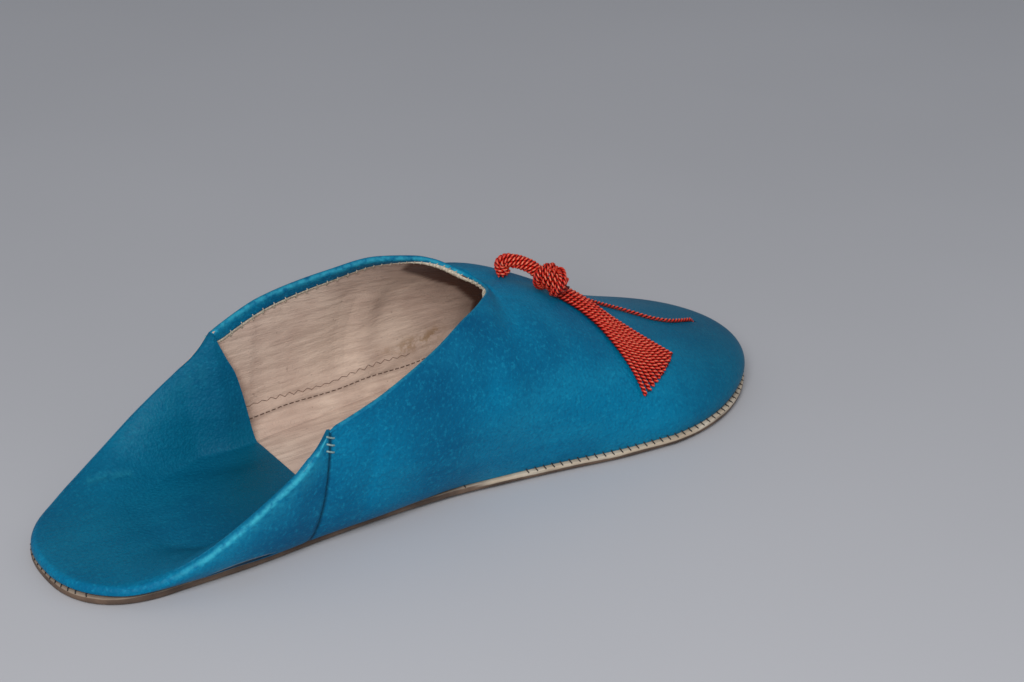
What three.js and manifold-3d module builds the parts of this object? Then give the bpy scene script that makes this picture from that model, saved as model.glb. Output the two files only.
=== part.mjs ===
// A babouche slipper: thin leather sole, soft one-piece upper, heel trodden flat, tassel on the vamp.
// Millimetres. +X runs from heel to toe, +Y to the far side, +Z up. The floor is z = 0.
import * as THREE from "three";
import { mergeVertices } from "three/addons/utils/BufferGeometryUtils.js";
import Module from "manifold-3d";

// Driving sizes of the sole and its stack
const LENGTH = 256;
const BALL_WIDTH = 88;
const HEEL_WIDTH = 59.4;
const SOLE_THICKNESS = 2.3;
const INSOLE_THICKNESS = 1;
const SEAT_GAP = 0.25;
const EDGE_CURL = 1.2;
const WAIST_RISE = 0.8;
const TOE_SPRING = 2.2;

// Driving sizes of the upper
const WALL = 1.5;
const INSTEP_HEIGHT = 60;
const SEAM_HEIGHT = 43;
const COLLAR_WIDTH = 79.4;
const RIDGE_WIDTH = 80.4;
const FOLD_RADIUS = 2.1;
const FOOT_MARGIN = 1.6;
const INSOLE_CLEARANCE = 0.4;
const BULGE = 9.5;
const HEEL_FOLD_HEIGHT = 6;
const SEAM_OFFSET = 6;
const CORNER_TURN = THREE.MathUtils.degToRad(37);
const FLAP_EASE = 1.3;
const SLOPE_STEP = 0.5;

// Places along the shoe, as shares of its length from the heel
const HEEL_ARC_AT = 0.121;
const TOE_ARC_AT = 0.789;
const SEAM_FOOT_AT = 0.277;
const SEAM_TOP_AT = 0.301;
const THROAT_AT = 0.6035;
const SPINE_END_AT = 0.86;
const FLAP_EDGE_AT = 0.336;
const RIDGE_ARC_AT = 0.258;
const COLLAR_ARC_AT = 0.363;

// Roundness of the arcs in plan: 2 is an ellipse, more is squarer
const HEEL_ROUNDNESS = 2.45;
const TOE_ROUNDNESS = 2;
const RIDGE_ROUNDNESS = 2.35;
const THROAT_ROUNDNESS = 1.35;

// Half width of the sole, as the share of the way from heel width to ball width on each side
const OUTLINE = [
  { at: 0.121, near: 0, far: 0 },
  { at: 0.207, near: 0.06, far: 0.065 },
  { at: 0.305, near: 0.02, far: 0.094 },
  { at: 0.383, near: 0.03, far: 0.19 },
  { at: 0.48, near: 0.11, far: 0.39 },
  { at: 0.559, near: 0.312, far: 0.6 },
  { at: 0.637, near: 0.551, far: 0.804 },
  { at: 0.715, near: 0.841, far: 0.949 },
  { at: 0.789, near: 1, far: 1 },
];

// Underside of the sole: shares of the waist rise, the toe spring and the curl of its edge
const UNDERSIDE = [
  { at: 0, waist: 0, toe: 0, curl: 0.3 },
  { at: 0.13, waist: 0, toe: 0, curl: 0.5 },
  { at: 0.22, waist: 0, toe: 0, curl: 0.6 },
  { at: 0.34, waist: 0.6, toe: 0, curl: 0.6 },
  { at: 0.45, waist: 1, toe: 0, curl: 0.5 },
  { at: 0.56, waist: 0.5, toe: 0, curl: 0.6 },
  { at: 0.68, waist: 0, toe: 0, curl: 0.7 },
  { at: 0.8, waist: 0, toe: 0, curl: 0.8 },
  { at: 0.88, waist: 0, toe: 0.1, curl: 0.9 },
  { at: 0.94, waist: 0, toe: 0.45, curl: 1 },
  { at: 1, waist: 0, toe: 1, curl: 0.8 },
];
const FLAT_SHARE = 0.45;

// Top of the wall: collar from the side seam to the throat, then the spine of the vamp
const TOP_LINE = [
  { at: 0.301, height: 0 },
  { at: 0.383, height: 0.44 },
  { at: 0.461, height: 0.765 },
  { at: 0.52, height: 0.976 },
  { at: 0.559, height: 0.985 },
  { at: 0.576, height: 0.94 },
  { at: 0.59, height: 0.85 },
  { at: 0.6035, height: 0.745 },
  { at: 0.63, height: 0.66 },
  { at: 0.656, height: 0.53 },
  { at: 0.715, height: 0.1 },
  { at: 0.773, height: -0.4 },
  { at: 0.82, height: -0.75 },
  { at: 0.86, height: -1 },
  { at: 0.88, height: -1.13 },
];

// Ridge of the trodden heel, as the share of the way from the heel fold to the side seam
const RIDGE_LINE = [
  { at: 0, height: 0 },
  { at: 0.05, height: 0.01 },
  { at: 0.09, height: 0.08 },
  { at: 0.133, height: 0.21 },
  { at: 0.188, height: 0.433 },
  { at: 0.227, height: 0.6 },
  { at: 0.266, height: 0.77 },
  { at: 0.286, height: 0.88 },
  { at: 0.301, height: 1 },
];

// Bend of the wall between foot and top: margin of the foot as a share of FOOT_MARGIN, bulge as a
// share of BULGE, belly as a share of the wall's height, reach as a share of foot to top, and dip
// as the share of THROAT_DIP by which the wall turns past level
const WALL_BEND = [
  { at: 0, margin: 1, bulge: 0.02, belly: 0.3, reach: 0.45, dip: 0 },
  { at: 0.07, margin: 0.7, bulge: 0.1, belly: 0.25, reach: 0.45, dip: 0 },
  { at: 0.16, margin: 0.15, bulge: 0.45, belly: 0.08, reach: 0.45, dip: 0 },
  { at: 0.301, margin: 0.15, bulge: 0.9, belly: 0.02, reach: 0.43, dip: 0 },
  { at: 0.383, margin: 0.15, bulge: 1.15, belly: 0.02, reach: 0.41, dip: 0 },
  { at: 0.461, margin: 0.3, bulge: 1.2, belly: 0.06, reach: 0.39, dip: 0 },
  { at: 0.53, margin: 0.6, bulge: 1.22, belly: 0.24, reach: 0.42, dip: 0.25 },
  { at: 0.6035, margin: 1, bulge: 1.3, belly: 0.55, reach: 0.52, dip: 0.7 },
  { at: 0.68, margin: 1, bulge: 0.9, belly: 0.52, reach: 0.46, dip: 0.3 },
  { at: 0.789, margin: 1, bulge: 0.64, belly: 0.46, reach: 0.4, dip: 0 },
  { at: 0.9, margin: 1, bulge: 0.82, belly: 0.42, reach: 0.38, dip: 0 },
  { at: 1, margin: 1, bulge: 1.05, belly: 0.4, reach: 0.38, dip: 0 },
];
const INSTEP_SQUAT = 0.9;
const THROAT_DIP = 0.17;

// Free edge of the trodden quarter, from the middle of the insole to the side seam:
// share of the way from its lowest place to the seam, and share of the collar's half width
const FLAP_EDGE = [
  { at: 0, way: 0, across: 0 },
  { at: 0.14, way: 0, across: 0.3 },
  { at: 0.28, way: 0.02, across: 0.58 },
  { at: 0.42, way: 0.12, across: 0.735 },
  { at: 0.57, way: 0.34, across: 0.82 },
  { at: 0.71, way: 0.64, across: 0.86 },
  { at: 0.86, way: 0.88, across: 0.905 },
  { at: 1, way: 1, across: 0.967 },
];
const SEAM_PINCH = 0.033;
const FLANK_FRONT = 10.5;
const FLANK_BACK = 21;
const FLANK_FULLNESS = 1.2;

// Tassel: a loop that leaves the vamp ahead of the throat, a knot, a fan of cords and a toe cord
const CORD_DIAMETER = 1.6;
const LOOP_DIAMETER = 3.4;
const TOE_CORD_DIAMETER = 1.2;
const TASSEL_GAP = 0.3;
const KNOT_LENGTH = 13;
const KNOT_WIDTH = 12;
const KNOT_THICKNESS = 9.6;
const KNOT_LEAN = 0.42;
const KNOT_SPREAD = 2;
const KNOT_AT = 0.6816;
const KNOT_ASIDE = 36; // in from the ball's near edge
const LOOP_AT = 0.6434;
const LOOP_ASIDE = 45.5; // in from the ball's near edge
const LOOP_HEIGHT = 6;
const LOOP_FOOT_LIFT = 0.45;
const FAN_CORDS = 11;
const FAN_AT = 0.696;
const FAN_ASIDE = 35.8; // in from the ball's near edge
const FAN_LENGTH = 37;
const FAN_HALF_WIDTH = 11;
const FAN_HEADING = -46.7;
const FAN_SLANT = 0.14;
const FAN_LAYERS = 3;
const FAN_NESTING = 0.8;

// Edges of the fan across its heading, as shares of its half width, and how far its cords are stacked
const FAN = [
  { at: 0, near: -0.15, far: 0.15, stack: 1 },
  { at: 0.2, near: -0.08, far: 0.5, stack: 0.8 },
  { at: 0.4, near: -0.16, far: 0.73, stack: 0.5 },
  { at: 0.6, near: -0.4, far: 0.85, stack: 0.25 },
  { at: 0.8, near: -0.68, far: 0.91, stack: 0.08 },
  { at: 1, near: -1, far: 0.96, stack: 0 },
];

// The cord that runs on to the toe: its way across the vamp as a share of the ball's half width
const TOE_CORD = [
  { at: 0.725, across: -0.04 },
  { at: 0.77, across: -0.05 },
  { at: 0.805, across: -0.06 },
  { at: 0.832, across: -0.1 },
  { at: 0.857, across: -0.157 },
  { at: 0.884, across: -0.186 },
  { at: 0.917, across: -0.15 },
  { at: 0.935, across: -0.114 },
];

// The loop, from its foot to the knot: share of the way in plan, and share of the loop's height
const LOOP = [
  { at: 0, way: 0, height: 0 },
  { at: 0.2, way: -0.06, height: 0.5 },
  { at: 0.45, way: 0.14, height: 0.96 },
  { at: 0.7, way: 0.44, height: 0.98 },
  { at: 1, way: 0.78, height: 0.72 },
];

// Steps of the surfaces
const HEEL_STEPS = 14;
const COLLAR_STEPS = 17;
const VAMP_STEPS = 9;
const TOE_STEPS = 10;
const WALL_STEPS = 10;
const FOLD_STEPS = 3;
const FLAP_STEPS = 7;
const ARC_STEPS = 11;
const SIDE_STEPS = 13;
const LOOP_STEPS = 9;
const LOOP_SIDES = 9;
const TURN_STEPS = 16;
const TURN_SIDES = 7;
const CORE_STEPS = [14, 8];
const FAN_STEPS = 10;
const TOE_CORD_STEPS = 18;
const CORD_SIDES = 5;
const MERGE_TOLERANCE = 1e-4;

const NEAR = -1;
const FAR = 1;
const halfBall = BALL_WIDTH / 2;
const halfHeel = HEEL_WIDTH / 2;
const halfCollar = COLLAR_WIDTH / 2;
const halfRidge = RIDGE_WIDTH / 2;

const wasm = await Module();
wasm.setup();

function along(share) {
  return (share - 0.5) * LENGTH;
}

function shareAt(x) {
  return x / LENGTH + 0.5;
}

// A smooth curve through one column of a table that never swings past its rows
function curve(rows, column) {
  const slope = rows.slice(1).map((row, i) => {
    return (row[column] - rows[i][column]) / (row.at - rows[i].at);
  });
  const tangent = rows.map((row, i) => {
    if (i === 0 || i === rows.length - 1) return 0;
    const before = slope[i - 1];
    const after = slope[i];
    return before * after <= 0 ? 0 : (2 * before * after) / (before + after);
  });
  tangent[0] = slope[0];
  tangent[rows.length - 1] = slope[slope.length - 1];
  return (value) => {
    const v = THREE.MathUtils.clamp(value, rows[0].at, rows[rows.length - 1].at);
    let i = 0;
    while (i < slope.length - 1 && v > rows[i + 1].at) i += 1;
    const span = rows[i + 1].at - rows[i].at;
    const t = (v - rows[i].at) / span;
    const a = rows[i][column];
    const b = rows[i + 1][column];
    const start = tangent[i] * span;
    const end = tangent[i + 1] * span;
    return a + t * (start + t * (3 * (b - a) - 2 * start - end + t * (2 * (a - b) + start + end)));
  };
}

const widthNear = curve(OUTLINE, "near");
const widthFar = curve(OUTLINE, "far");
const waistShare = curve(UNDERSIDE, "waist");
const toeShare = curve(UNDERSIDE, "toe");
const curlShare = curve(UNDERSIDE, "curl");
const topShare = curve(TOP_LINE, "height");
const ridgeShare = curve(RIDGE_LINE, "height");
const flapWay = curve(FLAP_EDGE, "way");
const flapAcross = curve(FLAP_EDGE, "across");
const wallMargin = curve(WALL_BEND, "margin");
const wallBulge = curve(WALL_BEND, "bulge");
const wallBelly = curve(WALL_BEND, "belly");
const wallReach = curve(WALL_BEND, "reach");
const wallDip = curve(WALL_BEND, "dip");
const heelArcX = along(HEEL_ARC_AT);
const toeArcX = along(TOE_ARC_AT);
const heelReach = heelArcX - along(0);
const toeReach = along(1) - toeArcX;

function halfWidth(x, side) {
  const share = (side === NEAR ? widthNear : widthFar)(shareAt(x));
  return halfHeel + (halfBall - halfHeel) * share;
}

// How far out a plan point lies: 0 on the middle line, 1 on the sole's edge
function spread(x, y) {
  const side = y < 0 ? NEAR : FAR;
  if (x < heelArcX) {
    const reach = ((heelArcX - x) / heelReach) ** HEEL_ROUNDNESS;
    return (reach + (Math.abs(y) / halfHeel) ** HEEL_ROUNDNESS) ** (1 / HEEL_ROUNDNESS);
  }
  if (x > toeArcX) {
    const reach = ((x - toeArcX) / toeReach) ** TOE_ROUNDNESS;
    return (reach + (Math.abs(y) / halfBall) ** TOE_ROUNDNESS) ** (1 / TOE_ROUNDNESS);
  }
  return Math.abs(y) / halfWidth(x, side);
}

function soleBottom(x, y) {
  const share = shareAt(x);
  const rise = WAIST_RISE * waistShare(share) + TOE_SPRING * toeShare(share);
  const dish = Math.max(0, (spread(x, y) - FLAT_SHARE) / (1 - FLAT_SHARE)) ** 2;
  return rise + EDGE_CURL * curlShare(share) * dish;
}

function seat(x, y) {
  return soleBottom(x, y) + SOLE_THICKNESS + SEAT_GAP;
}

function insoleTop(x, y) {
  return seat(x, y) + INSOLE_THICKNESS;
}

// Sole edge in plan: the heel's arc, the side, then the toe's arc, for u from 0 to 1 to 2 to 3
function edgePoint(u, side) {
  if (u < 1) {
    const angle = (u * Math.PI) / 2;
    const x = heelArcX - heelReach * Math.cos(angle) ** (2 / HEEL_ROUNDNESS);
    return new THREE.Vector2(x, side * halfHeel * Math.sin(angle) ** (2 / HEEL_ROUNDNESS));
  }
  if (u > 2) {
    const angle = ((u - 2) * Math.PI) / 2;
    const x = toeArcX + toeReach * Math.sin(angle) ** (2 / TOE_ROUNDNESS);
    return new THREE.Vector2(x, side * halfBall * Math.cos(angle) ** (2 / TOE_ROUNDNESS));
  }
  const x = THREE.MathUtils.lerp(heelArcX, toeArcX, u - 1);
  return new THREE.Vector2(x, side * halfWidth(x, side));
}

function edgeNormal(u, side) {
  const step = 0.002;
  if (u <= 0) return new THREE.Vector2(-1, 0);
  if (u >= 3) return new THREE.Vector2(1, 0);
  const a = edgePoint(Math.max(0, u - step), side);
  const b = edgePoint(Math.min(3, u + step), side);
  return new THREE.Vector2(side * (a.y - b.y), side * (b.x - a.x)).normalize();
}

// The sole's edge moved inwards by a margin
function insetPoint(u, side, margin) {
  return edgePoint(u, side).addScaledVector(edgeNormal(u, side), -margin);
}

function sideShare(x) {
  return 1 + (x - heelArcX) / (toeArcX - heelArcX);
}

// A rail through plan points, read at shares of its own length
function rail(points) {
  const lengths = [0];
  for (let i = 1; i < points.length; i += 1) {
    lengths.push(lengths[i - 1] + points[i].distanceTo(points[i - 1]));
  }
  const total = lengths[lengths.length - 1];
  return (share) => {
    const want = share * total;
    let i = 1;
    while (i < lengths.length - 1 && lengths[i] < want) i += 1;
    const t = (want - lengths[i - 1]) / (lengths[i] - lengths[i - 1]);
    return points[i - 1].clone().lerp(points[i], t);
  };
}

function sampled(count, point) {
  return Array.from({ length: count + 1 }, (_, i) => point(i / count));
}

// A closed mesh gathered from indexed points
class Skin {
  constructor() {
    this.points = [];
    this.faces = [];
  }

  add(point) {
    this.points.push(point);
    return this.points.length - 1;
  }

  face(a, b, c) {
    if (a !== b && b !== c && c !== a) this.faces.push([a, b, c]);
  }

  quad(a, b, c, d) {
    this.face(a, b, c);
    this.face(a, c, d);
  }

  normals() {
    const sums = this.points.map(() => new THREE.Vector3());
    for (const [a, b, c] of this.faces) {
      const ab = this.points[b].clone().sub(this.points[a]);
      const n = ab.cross(this.points[c].clone().sub(this.points[a]));
      sums[a].add(n);
      sums[b].add(n);
      sums[c].add(n);
    }
    return sums.map((n) => n.normalize());
  }

  geometry() {
    const geometry = new THREE.BufferGeometry();
    const flat = this.points.flatMap((p) => [p.x, p.y, p.z]);
    geometry.setAttribute("position", new THREE.Float32BufferAttribute(flat, 3));
    geometry.setIndex(this.faces.flat());
    geometry.computeVertexNormals();
    return geometry;
  }
}

// A plate that follows the sole: rings of points from the middle line out to a margin from the edge
function plate(margin, bottomAt, topAt) {
  const RINGS = [0, FLAT_SHARE, 0.62, 0.76, 0.89, 1];
  const us = [
    ...sampled(ARC_STEPS, (t) => t),
    ...sampled(SIDE_STEPS, (t) => 1 + t).slice(1),
    ...sampled(ARC_STEPS, (t) => 2 + t).slice(1),
  ];
  const skin = new Skin();
  const layer = (heightAt) => {
    const middle = new Map();
    const ring = (u, side) => {
      const edge = insetPoint(u, side, margin);
      const hubX = THREE.MathUtils.clamp(edgePoint(u, side).x, heelArcX, toeArcX);
      const hub = new THREE.Vector2(hubX, 0);
      return RINGS.map((share) => {
        const p = hub.clone().lerp(edge, share);
        if (share > 0) return skin.add(new THREE.Vector3(p.x, p.y, heightAt(p.x, p.y)));
        const key = hub.x.toFixed(6);
        if (!middle.has(key)) middle.set(key, skin.add(new THREE.Vector3(p.x, 0, heightAt(p.x, 0))));
        return middle.get(key);
      });
    };
    const nearRings = us.map((u) => ring(u, NEAR));
    const farRings = us.slice(1, -1).map((u) => ring(u, FAR));
    return [...nearRings, ...farRings.reverse()];
  };
  const top = layer(topAt);
  const bottom = layer(bottomAt);
  const last = RINGS.length - 1;
  top.forEach((here, i) => {
    const next = (i + 1) % top.length;
    for (let j = 0; j < last; j += 1) {
      skin.quad(here[j], here[j + 1], top[next][j + 1], top[next][j]);
      skin.quad(bottom[i][j], bottom[next][j], bottom[next][j + 1], bottom[i][j + 1]);
    }
    skin.quad(here[last], bottom[i][last], bottom[next][last], top[next][last]);
  });
  return skin.geometry();
}

// The upper's height lines
function topHeight(x) {
  return SEAM_HEIGHT + (INSTEP_HEIGHT - SEAM_HEIGHT) * topShare(shareAt(x));
}

function ridgeHeight(x) {
  return HEEL_FOLD_HEIGHT + (SEAM_HEIGHT - HEEL_FOLD_HEIGHT) * ridgeShare(shareAt(x));
}

const seamTopX = along(SEAM_TOP_AT);
const throatX = along(THROAT_AT);
const ridgeArcX = along(RIDGE_ARC_AT);
const ridgeReach = ridgeArcX - along(0);

// Half width of the collar: pinched at the seam, wide at the ankle, round at the throat
function collarHalf(x) {
  const arcX = along(COLLAR_ARC_AT);
  if (x < arcX) return halfCollar * (1 - SEAM_PINCH * ((arcX - x) / (arcX - seamTopX)) ** 2);
  const share = THREE.MathUtils.clamp((x - arcX) / (throatX - arcX), 0, 1);
  return halfCollar * Math.sqrt(1 - share ** THROAT_ROUNDNESS);
}

// Lean of the wall from upright at the collar, as on an ellipse that the collar cuts
function collarLean(x) {
  if (x < along(COLLAR_ARC_AT)) return 0;
  const turn = Math.acos(Math.min(1, collarHalf(x) / halfCollar));
  return Math.atan(INSTEP_SQUAT * Math.tan(turn));
}

// Plan of the ridge from the heel's middle, an arc and then a line to the seam
function ridgePlan(side) {
  const arc = sampled(40, (t) => {
    const angle = (t * Math.PI) / 2;
    const x = ridgeArcX - ridgeReach * Math.cos(angle) ** (2 / RIDGE_ROUNDNESS);
    return new THREE.Vector2(x, side * halfRidge * Math.sin(angle) ** (2 / RIDGE_ROUNDNESS));
  });
  return [...arc, new THREE.Vector2(seamTopX, side * collarHalf(seamTopX))];
}

// How far out a plan point lies under the ridge's fold: 1 at the ridge, less inside
function ridgeDepth(x, y) {
  const half = halfRidge - FOLD_RADIUS;
  if (x < ridgeArcX) {
    const reach = ((ridgeArcX - x) / (ridgeReach - FOLD_RADIUS)) ** RIDGE_ROUNDNESS;
    const out = (reach + (Math.abs(y) / half) ** RIDGE_ROUNDNESS) ** (1 / RIDGE_ROUNDNESS);
    return Math.max(0, 1 - out) * half;
  }
  const pinch = THREE.MathUtils.clamp((x - ridgeArcX) / (seamTopX - ridgeArcX), 0, 1);
  const here = THREE.MathUtils.lerp(half, collarHalf(seamTopX) - FOLD_RADIUS, pinch);
  return Math.max(0, here - Math.abs(y));
}

// The trodden quarter: flat on the insole, with flanks that rise to the ridge
function flapHeight(x, y) {
  const rest = insoleTop(x, y) + SEAT_GAP + WALL;
  const back = THREE.MathUtils.clamp((ridgeArcX - x) / (ridgeArcX - heelArcX), 0, 1);
  const flank = THREE.MathUtils.lerp(FLANK_FRONT, FLANK_BACK, back);
  const u = Math.min(1, ridgeDepth(x, y) / flank);
  const fall = (1 - u) ** 2 * (1 + FLANK_FULLNESS * u);
  return rest + Math.max(0, ridgeHeight(x) - rest) * fall;
}

function bezier(points, t) {
  const s = 1 - t;
  const weights = [s ** 3, 3 * s * s * t, 3 * s * t * t, t ** 3];
  return points.reduce((sum, p, i) => sum.addScaledVector(p, weights[i]), new THREE.Vector3());
}

function footOf(plan) {
  return new THREE.Vector3(plan.x, plan.y, seat(plan.x, plan.y));
}

function footPlan(u, side) {
  return insetPoint(u, side, FOOT_MARGIN * wallMargin(shareAt(edgePoint(u, side).x)));
}

// Wall from the foot to its top, bulging outwards, as one row of points
function wallRow(foot, normal, top, at, upright, slope) {
  const lean = upright * (1 + THROAT_DIP * wallDip(at));
  const out = new THREE.Vector3(normal.x, normal.y, 0);
  const rise = top.z - foot.z;
  const first = foot.clone().addScaledVector(out, BULGE * wallBulge(at));
  first.z += wallBelly(at) * rise;
  const inwards = Math.hypot(top.x - foot.x, top.y - foot.y) * Math.sin(lean);
  const reach = wallReach(at) * Math.hypot(rise, inwards);
  const second = top.clone().addScaledVector(out, reach * Math.sin(lean));
  second.z += slope * (second.x - top.x) - reach * Math.cos(lean);
  return sampled(WALL_STEPS, (t) => bezier([foot, first, second, top], t));
}

// Rows of the upper's outer skin on one side, from the heel's middle to the toe's middle
function upperRows(side) {
  const rows = [];
  const seamU = sideShare(along(SEAM_FOOT_AT));
  const footRail = rail(sampled(90, (t) => footPlan(t * seamU, side)));
  const ridgeRail = rail(ridgePlan(side));
  const lowX = along(FLAP_EDGE_AT);
  const edgeRail = rail(sampled(60, (t) => {
    const x = THREE.MathUtils.lerp(lowX, seamTopX, flapWay(t));
    return new THREE.Vector2(x, side * halfCollar * flapAcross(t));
  }));
  for (let i = 0; i < HEEL_STEPS; i += 1) {
    const share = i / HEEL_STEPS;
    const foot = footOf(footRail(share));
    const ridge = ridgeRail(share);
    const ahead = ridgeRail(Math.min(1, share + 0.01));
    const behind = ridgeRail(Math.max(0, share - 0.01));
    const tangent = ahead.sub(behind);
    const normal = new THREE.Vector2(-side * tangent.y, side * tangent.x).normalize();
    if (i === 0) normal.set(-1, 0);
    const height = ridgeHeight(ridge.x);
    const top = new THREE.Vector3(ridge.x, ridge.y, height - FOLD_RADIUS);
    const row = wallRow(foot, normal, top, shareAt(ridge.x), 0, 0);
    for (let j = 1; j <= FOLD_STEPS; j += 1) {
      const angle = ((j / FOLD_STEPS) * Math.PI) / 2;
      const inwards = FOLD_RADIUS * (1 - Math.cos(angle));
      const lift = FOLD_RADIUS * Math.sin(angle);
      row.push(new THREE.Vector3(ridge.x - normal.x * inwards, ridge.y - normal.y * inwards, top.z + lift));
    }
    const from = new THREE.Vector2(row[row.length - 1].x, row[row.length - 1].y);
    const to = edgeRail(share);
    for (let j = 1; j <= FLAP_STEPS; j += 1) {
      const p = from.clone().lerp(to, (j / FLAP_STEPS) ** FLAP_EASE);
      row.push(new THREE.Vector3(p.x, p.y, flapHeight(p.x, p.y)));
    }
    rows.push({ points: row, open: true });
  }
  const seamX = along(SEAM_FOOT_AT);
  for (let i = 0; i <= COLLAR_STEPS; i += 1) {
    const footX = THREE.MathUtils.lerp(seamX, throatX, i / COLLAR_STEPS);
    const u = sideShare(footX);
    const back = throatX - footX;
    const topX = throatX - (back - SEAM_OFFSET * (1 - Math.exp(-back / SEAM_OFFSET)));
    const x = Math.max(seamTopX, topX);
    const foot = footOf(footPlan(u, side));
    const top = new THREE.Vector3(x, side * collarHalf(x), topHeight(x));
    const at = shareAt(x);
    const wall = wallRow(foot, edgeNormal(u, side), top, at, collarLean(x), 0);
    rows.push({ points: wall, open: i < COLLAR_STEPS });
  }
  const vampU = sideShare(throatX);
  const spineEnd = along(SPINE_END_AT);
  const vamp = (u, spineX, at) => {
    const foot = footOf(footPlan(u, side));
    const climb = topHeight(spineX + SLOPE_STEP) - topHeight(spineX - SLOPE_STEP);
    const slope = climb / (2 * SLOPE_STEP);
    const top = new THREE.Vector3(spineX, 0, topHeight(spineX));
    const normal = edgeNormal(u, side);
    rows.push({ points: wallRow(foot, normal, top, at, Math.PI / 2, slope), open: false });
  };
  for (let i = 1; i <= VAMP_STEPS; i += 1) {
    const x = THREE.MathUtils.lerp(throatX, toeArcX, i / VAMP_STEPS);
    vamp(THREE.MathUtils.lerp(vampU, 2, i / VAMP_STEPS), x, shareAt(x));
  }
  for (let i = 1; i <= TOE_STEPS; i += 1) {
    const t = i / TOE_STEPS;
    const x = THREE.MathUtils.lerp(toeArcX, spineEnd, Math.sin((t * Math.PI) / 2));
    vamp(2 + t, x, shareAt(footPlan(2 + t, side).x));
  }
  return rows;
}

// The upper as one hollow solid: outer skin, the same skin set in by the wall, and the rims
function upperGeometry() {
  const skin = new Skin();
  const near = upperRows(NEAR);
  const far = upperRows(FAR);
  const seamRow = HEEL_STEPS;
  const full = WALL_STEPS + FOLD_STEPS + FLAP_STEPS;
  const nearIds = near.map((row) => row.points.map((p) => skin.add(p)));
  const farIds = far.map((row, i) => {
    if (i === 0 || i === far.length - 1) return nearIds[i];
    const ids = row.points.slice(0, row.open ? undefined : WALL_STEPS).map((p) => skin.add(p));
    return row.open ? ids : [...ids, nearIds[i][WALL_STEPS]];
  });
  for (const ids of [nearIds[seamRow], farIds[seamRow]]) {
    while (ids.length <= full) ids.push(ids[WALL_STEPS]);
  }
  const cover = (ids, flip) => {
    for (let i = 0; i < ids.length - 1; i += 1) {
      const steps = i < seamRow ? full : WALL_STEPS;
      for (let j = 0; j < steps; j += 1) {
        const q = [ids[i][j], ids[i + 1][j], ids[i + 1][j + 1], ids[i][j + 1]];
        if (flip) q.reverse();
        skin.quad(...q);
      }
    }
  };
  cover(nearIds, false);
  cover(farIds, true);
  const normals = skin.normals();
  const outerCount = skin.points.length;
  const outerFaces = skin.faces.slice();
  const outer = skin.geometry();
  const isFoot = new Set([...nearIds, ...farIds].map((ids) => ids[0]));
  const corners = new Set([nearIds[seamRow][WALL_STEPS], farIds[seamRow][WALL_STEPS]]);
  for (let i = 0; i < outerCount; i += 1) {
    const p = skin.points[i];
    const n = normals[i];
    let inner = p.clone().addScaledVector(n, -WALL);
    if (isFoot.has(i)) {
      const flat = new THREE.Vector2(n.x, n.y).normalize();
      inner = footOf(new THREE.Vector2(p.x - flat.x * WALL, p.y - flat.y * WALL));
    }
    if (corners.has(i)) {
      const inwards = -Math.sign(p.y) * WALL * Math.cos(CORNER_TURN);
      inner = p.clone().add(new THREE.Vector3(0, inwards, -WALL * Math.sin(CORNER_TURN)));
    }
    skin.add(inner);
  }
  for (const [a, b, c] of outerFaces) skin.face(a + outerCount, c + outerCount, b + outerCount);
  const rim = (a, b, flip) => {
    const q = [a, a + outerCount, b + outerCount, b];
    if (flip) q.reverse();
    skin.quad(...q);
  };
  for (const [ids, rows, flip] of [[nearIds, near, false], [farIds, far, true]]) {
    for (let i = 0; i < ids.length - 1; i += 1) {
      rim(ids[i][0], ids[i + 1][0], flip);
      const lastHere = i < seamRow ? full : WALL_STEPS;
      if (rows[i].open) rim(ids[i][lastHere], ids[i + 1][lastHere], !flip);
    }
  }
  return { closed: skin.geometry(), outer };
}

// A closed round tube along a path of points
function tube(points, radius, sides) {
  const skin = new Skin();
  const rings = [];
  let across = new THREE.Vector3(0, 0, 1);
  points.forEach((p, i) => {
    const ahead = points[Math.min(points.length - 1, i + 1)].clone();
    const tangent = ahead.sub(points[Math.max(0, i - 1)]).normalize();
    if (Math.abs(tangent.dot(across)) > 0.95) across = new THREE.Vector3(1, 0, 0);
    across = across.clone().addScaledVector(tangent, -across.dot(tangent)).normalize();
    const third = tangent.clone().cross(across);
    rings.push(Array.from({ length: sides }, (_, k) => {
      const angle = (2 * Math.PI * k) / sides;
      const q = p.clone().addScaledVector(across, radius * Math.cos(angle));
      return skin.add(q.addScaledVector(third, radius * Math.sin(angle)));
    }));
  });
  const first = skin.add(points[0]);
  const last = skin.add(points[points.length - 1]);
  for (let k = 0; k < sides; k += 1) {
    const next = (k + 1) % sides;
    for (let i = 0; i < rings.length - 1; i += 1) {
      skin.quad(rings[i][k], rings[i][next], rings[i + 1][next], rings[i + 1][k]);
    }
    skin.face(first, rings[0][next], rings[0][k]);
    skin.face(last, rings[rings.length - 1][k], rings[rings.length - 1][next]);
  }
  return skin.geometry();
}

function solidOf(geometry) {
  const mesh = new wasm.Mesh({
    numProp: 3,
    vertProperties: new Float32Array(geometry.getAttribute("position").array),
    triVerts: new Uint32Array(geometry.index.array),
  });
  return new wasm.Manifold(mesh);
}

function geometryOf(solid) {
  const mesh = solid.getMesh();
  const geometry = new THREE.BufferGeometry();
  geometry.setAttribute("position", new THREE.Float32BufferAttribute(mesh.vertProperties, 3));
  geometry.setIndex(Array.from(mesh.triVerts));
  geometry.computeVertexNormals();
  return geometry;
}

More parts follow.
